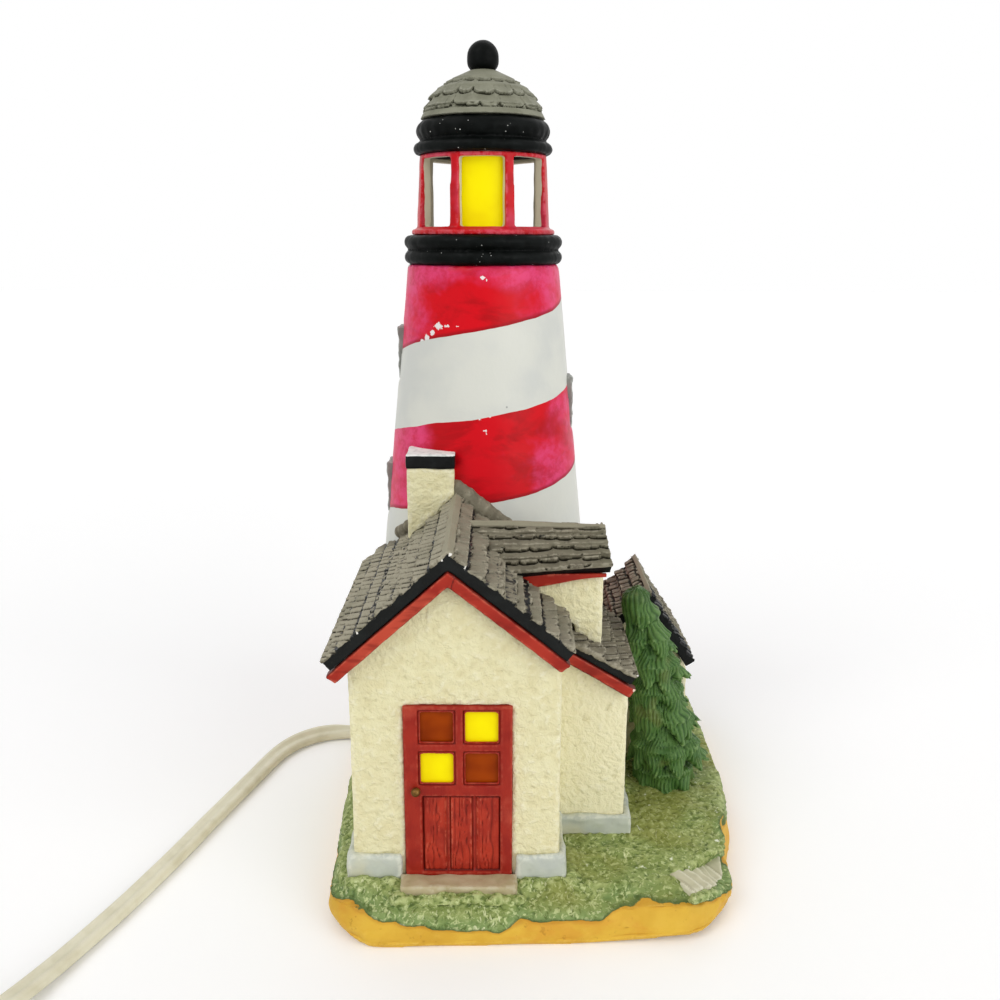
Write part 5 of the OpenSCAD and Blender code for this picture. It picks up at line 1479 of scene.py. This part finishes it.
def dome(finish, black):
    rows = Courses(51, 3.45, 4.9, lift=0.6, joint=0.22, butt=0.5, slant=0.0, corner=1.0,
                   grain=0.04, shades=(0.35, 0.9))

    def tiled(place):
        """Height and gap of the tiles, between the plain crown and the plain eave."""
        turn = math.atan2(place.x - TOWER[0], TOWER[1] - place.y)
        down = DOME_TOP - place.z
        if down > 10.35:
            return 0.15 - 0.4 * soft_step(down, 10.7, 10.4), soft_step(down, 10.7, 10.4) * 0.8
        if down < 3.0:
            return 0.15, 0.0
        return rows.at(turn * 12.5, down)
    form = worked("dome_roof", 0.32, 1, 0.35)
    tiles = [tiled(v.co / MM) for v in form.verts]
    form.normal_update()
    for v, (height, gap) in zip(form.verts, tiles):
        outer = soft_step(v.normal.z, -0.2, 0.1)
        v.co += v.normal * (height * outer - 0.15 + 0.06 * cloud(v.co / MM, 3, 1)) * MM
    roof = made("dome_shingles", form, finish, "dome_paint", "dome_roof", hollows=0.2)
    store(roof.data, "gap", [gap for _, gap in tiles])

    form = bmesh.new()
    bmesh.ops.create_uvsphere(
        form, u_segments=48, v_segments=32, radius=1,
        matrix=Matrix.Translation((TOWER[0] * MM, TOWER[1] * MM, 0.2031))
        @ Matrix.Diagonal((4.15 * MM, 4.15 * MM, 4.25 * MM, 1)))
    for v in form.verts:
        low = 0.12 * soft_step(v.co.z, 0.2034, 0.1995)
        v.co.x += (v.co.x - TOWER[0] * MM) * low
        v.co.y += (v.co.y - TOWER[1] * MM) * low
    carved(form, lambda p, n: 0.08 * cloud(p, 3))
    made("dome_ball", form, black, "black_paint", "finial_ball", sharp=0)


# Lampholder, bulb and studio


def fittings():
    ivory = plastic_finish("holder_finish", (232, 227, 211), (222, 216, 196), 0.38)
    brass = metal_finish("brass_finish", (214, 172, 88), (196, 152, 70))
    steel = metal_finish("spring_steel_finish", (186, 189, 193), (164, 167, 172))
    nickel = metal_finish("bulb_cap_finish", (200, 202, 204), (180, 182, 186))
    wire = metal_finish("filament_finish", (140, 142, 146), (112, 114, 118), 0.35)
    for node in ("lampholder_body", "lampholder_cap"):
        trimmed(node, "_moulded", ivory, "holder_plastic", 0.4)
    for node, finish in (("spring_clips", steel), ("screw_shell", brass),
                         ("centre_contact", brass), ("switch_screws", steel),
                         ("bulb_base", nickel), ("bulb_filament", wire),
                         ("bulb_glass", glass_finish())):
        kept(node, finish)


def sun(name, way, power, width):
    """A soft lamp far off, that shines from way with power as bright as a white floor."""
    light = bpy.data.lights.new(name, "SUN")
    light.angle = math.radians(width)
    light.energy = power * math.pi
    lamp = bpy.data.objects.new(name, light)
    lamp.matrix_world = Vector(way).to_track_quat("Z", "Y").to_matrix().to_4x4()
    scene.collection.objects.link(lamp)


def studio():
    """A white paper floor, a white world and three soft lamps far off."""
    form = bmesh.new()
    bmesh.ops.create_grid(form, x_segments=1, y_segments=1, size=3.0)
    mesh = bpy.data.meshes.new("floor")
    form.to_mesh(mesh)
    form.free()
    paint = Paint("floor_paper", emission_strength=1.0, specular_ior_level=0.2)
    seen = paint.add("ShaderNodeLightPath", output="Is Camera Ray")
    paint.feed(paint.shader.inputs["Emission Color"],
               paint.mixed(seen, (0.0, 0.0, 0.0), (0.1, 0.1, 0.1)))
    paint.colour = ink(253, 253, 253)
    paint.finish(paint.stepped(paint.cloud(40, 3), 0.3, 0.7, 0.8, 0.9))
    floor = bpy.data.objects.new("floor", mesh)
    mesh.materials.append(paint.material)
    scene.collection.objects.link(floor)
    world = bpy.data.worlds.new("studio")
    world.use_nodes = True
    scene.world = world
    tree = world.node_tree
    seen = tree.nodes.new("ShaderNodeLightPath")
    strength = tree.nodes.new("ShaderNodeMapRange")
    strength.inputs["To Min"].default_value = 0.54
    strength.inputs["To Max"].default_value = 1.0
    joined = seen.outputs["Is Camera Ray"]
    for ray in ("Is Glossy Ray", "Is Transmission Ray"):
        larger = tree.nodes.new("ShaderNodeMath")
        larger.operation = "MAXIMUM"
        tree.links.new(joined, larger.inputs[0])
        tree.links.new(seen.outputs[ray], larger.inputs[1])
        joined = larger.outputs[0]
    tree.links.new(joined, strength.inputs["Value"])
    background = tree.nodes["Background"]
    background.inputs["Color"].default_value = (1, 1, 1, 1)
    tree.links.new(strength.outputs[0], background.inputs["Strength"])
    sun("key", (-0.5, -0.5, 0.7), 0.27, 35)
    sun("fill", (0.7, -0.65, 0.3), 0.36, 50)
    sun("back", (0.1, 0.8, 0.7), 0.12, 60)


set_camera()
lay_cords()
studio()
ground()
walls(stucco_finish())
stone = stone_finish()
stones("cottage_footing", "cottage_plinth", stone, "plinth_paint")
stones("wing_footing", "wing_plinth", stone, "plinth_paint", squash=1.9)
steps(step_finish())
stones("door_slab", "doorstep", slab_finish(), "step_paint", 0.4)
shingle = shingle_finish()
main_roof(shingle)
wing_roof(shingle)
dormer_roof(shingle)
rear_roof(shingle)
boards(board_finish())
black = black_finish()
crown = stones("chimney_crown", "chimney_cap", crown_finish(), "black_paint", 0.3, 0.12, 1)
mark_points(crown, "bare", lambda p, n: (p.z - 102.9) * 2.5 + (1.6 if n.z > 0.6 else 0.0))
door(door_finish(), metal_finish("knob_finish", (138, 104, 58), (110, 80, 42), 0.4))
kept("yellow_door_panes", pane_finish("yellow_pane_finish", (246, 230, 0),
                                      (238, 216, 0), 0.08))
kept("amber_door_panes", pane_finish("amber_pane_finish", (156, 62, 2),
                                     (128, 44, 0), 0.03))
fir_tree(tree_finish())
tower(tower_finish(), frame_finish())
rings(black)
lantern(lantern_finish())
dome(dome_finish(), black)
kept("lantern_pane", bpy.data.materials["yellow_pane_finish"])
fittings()
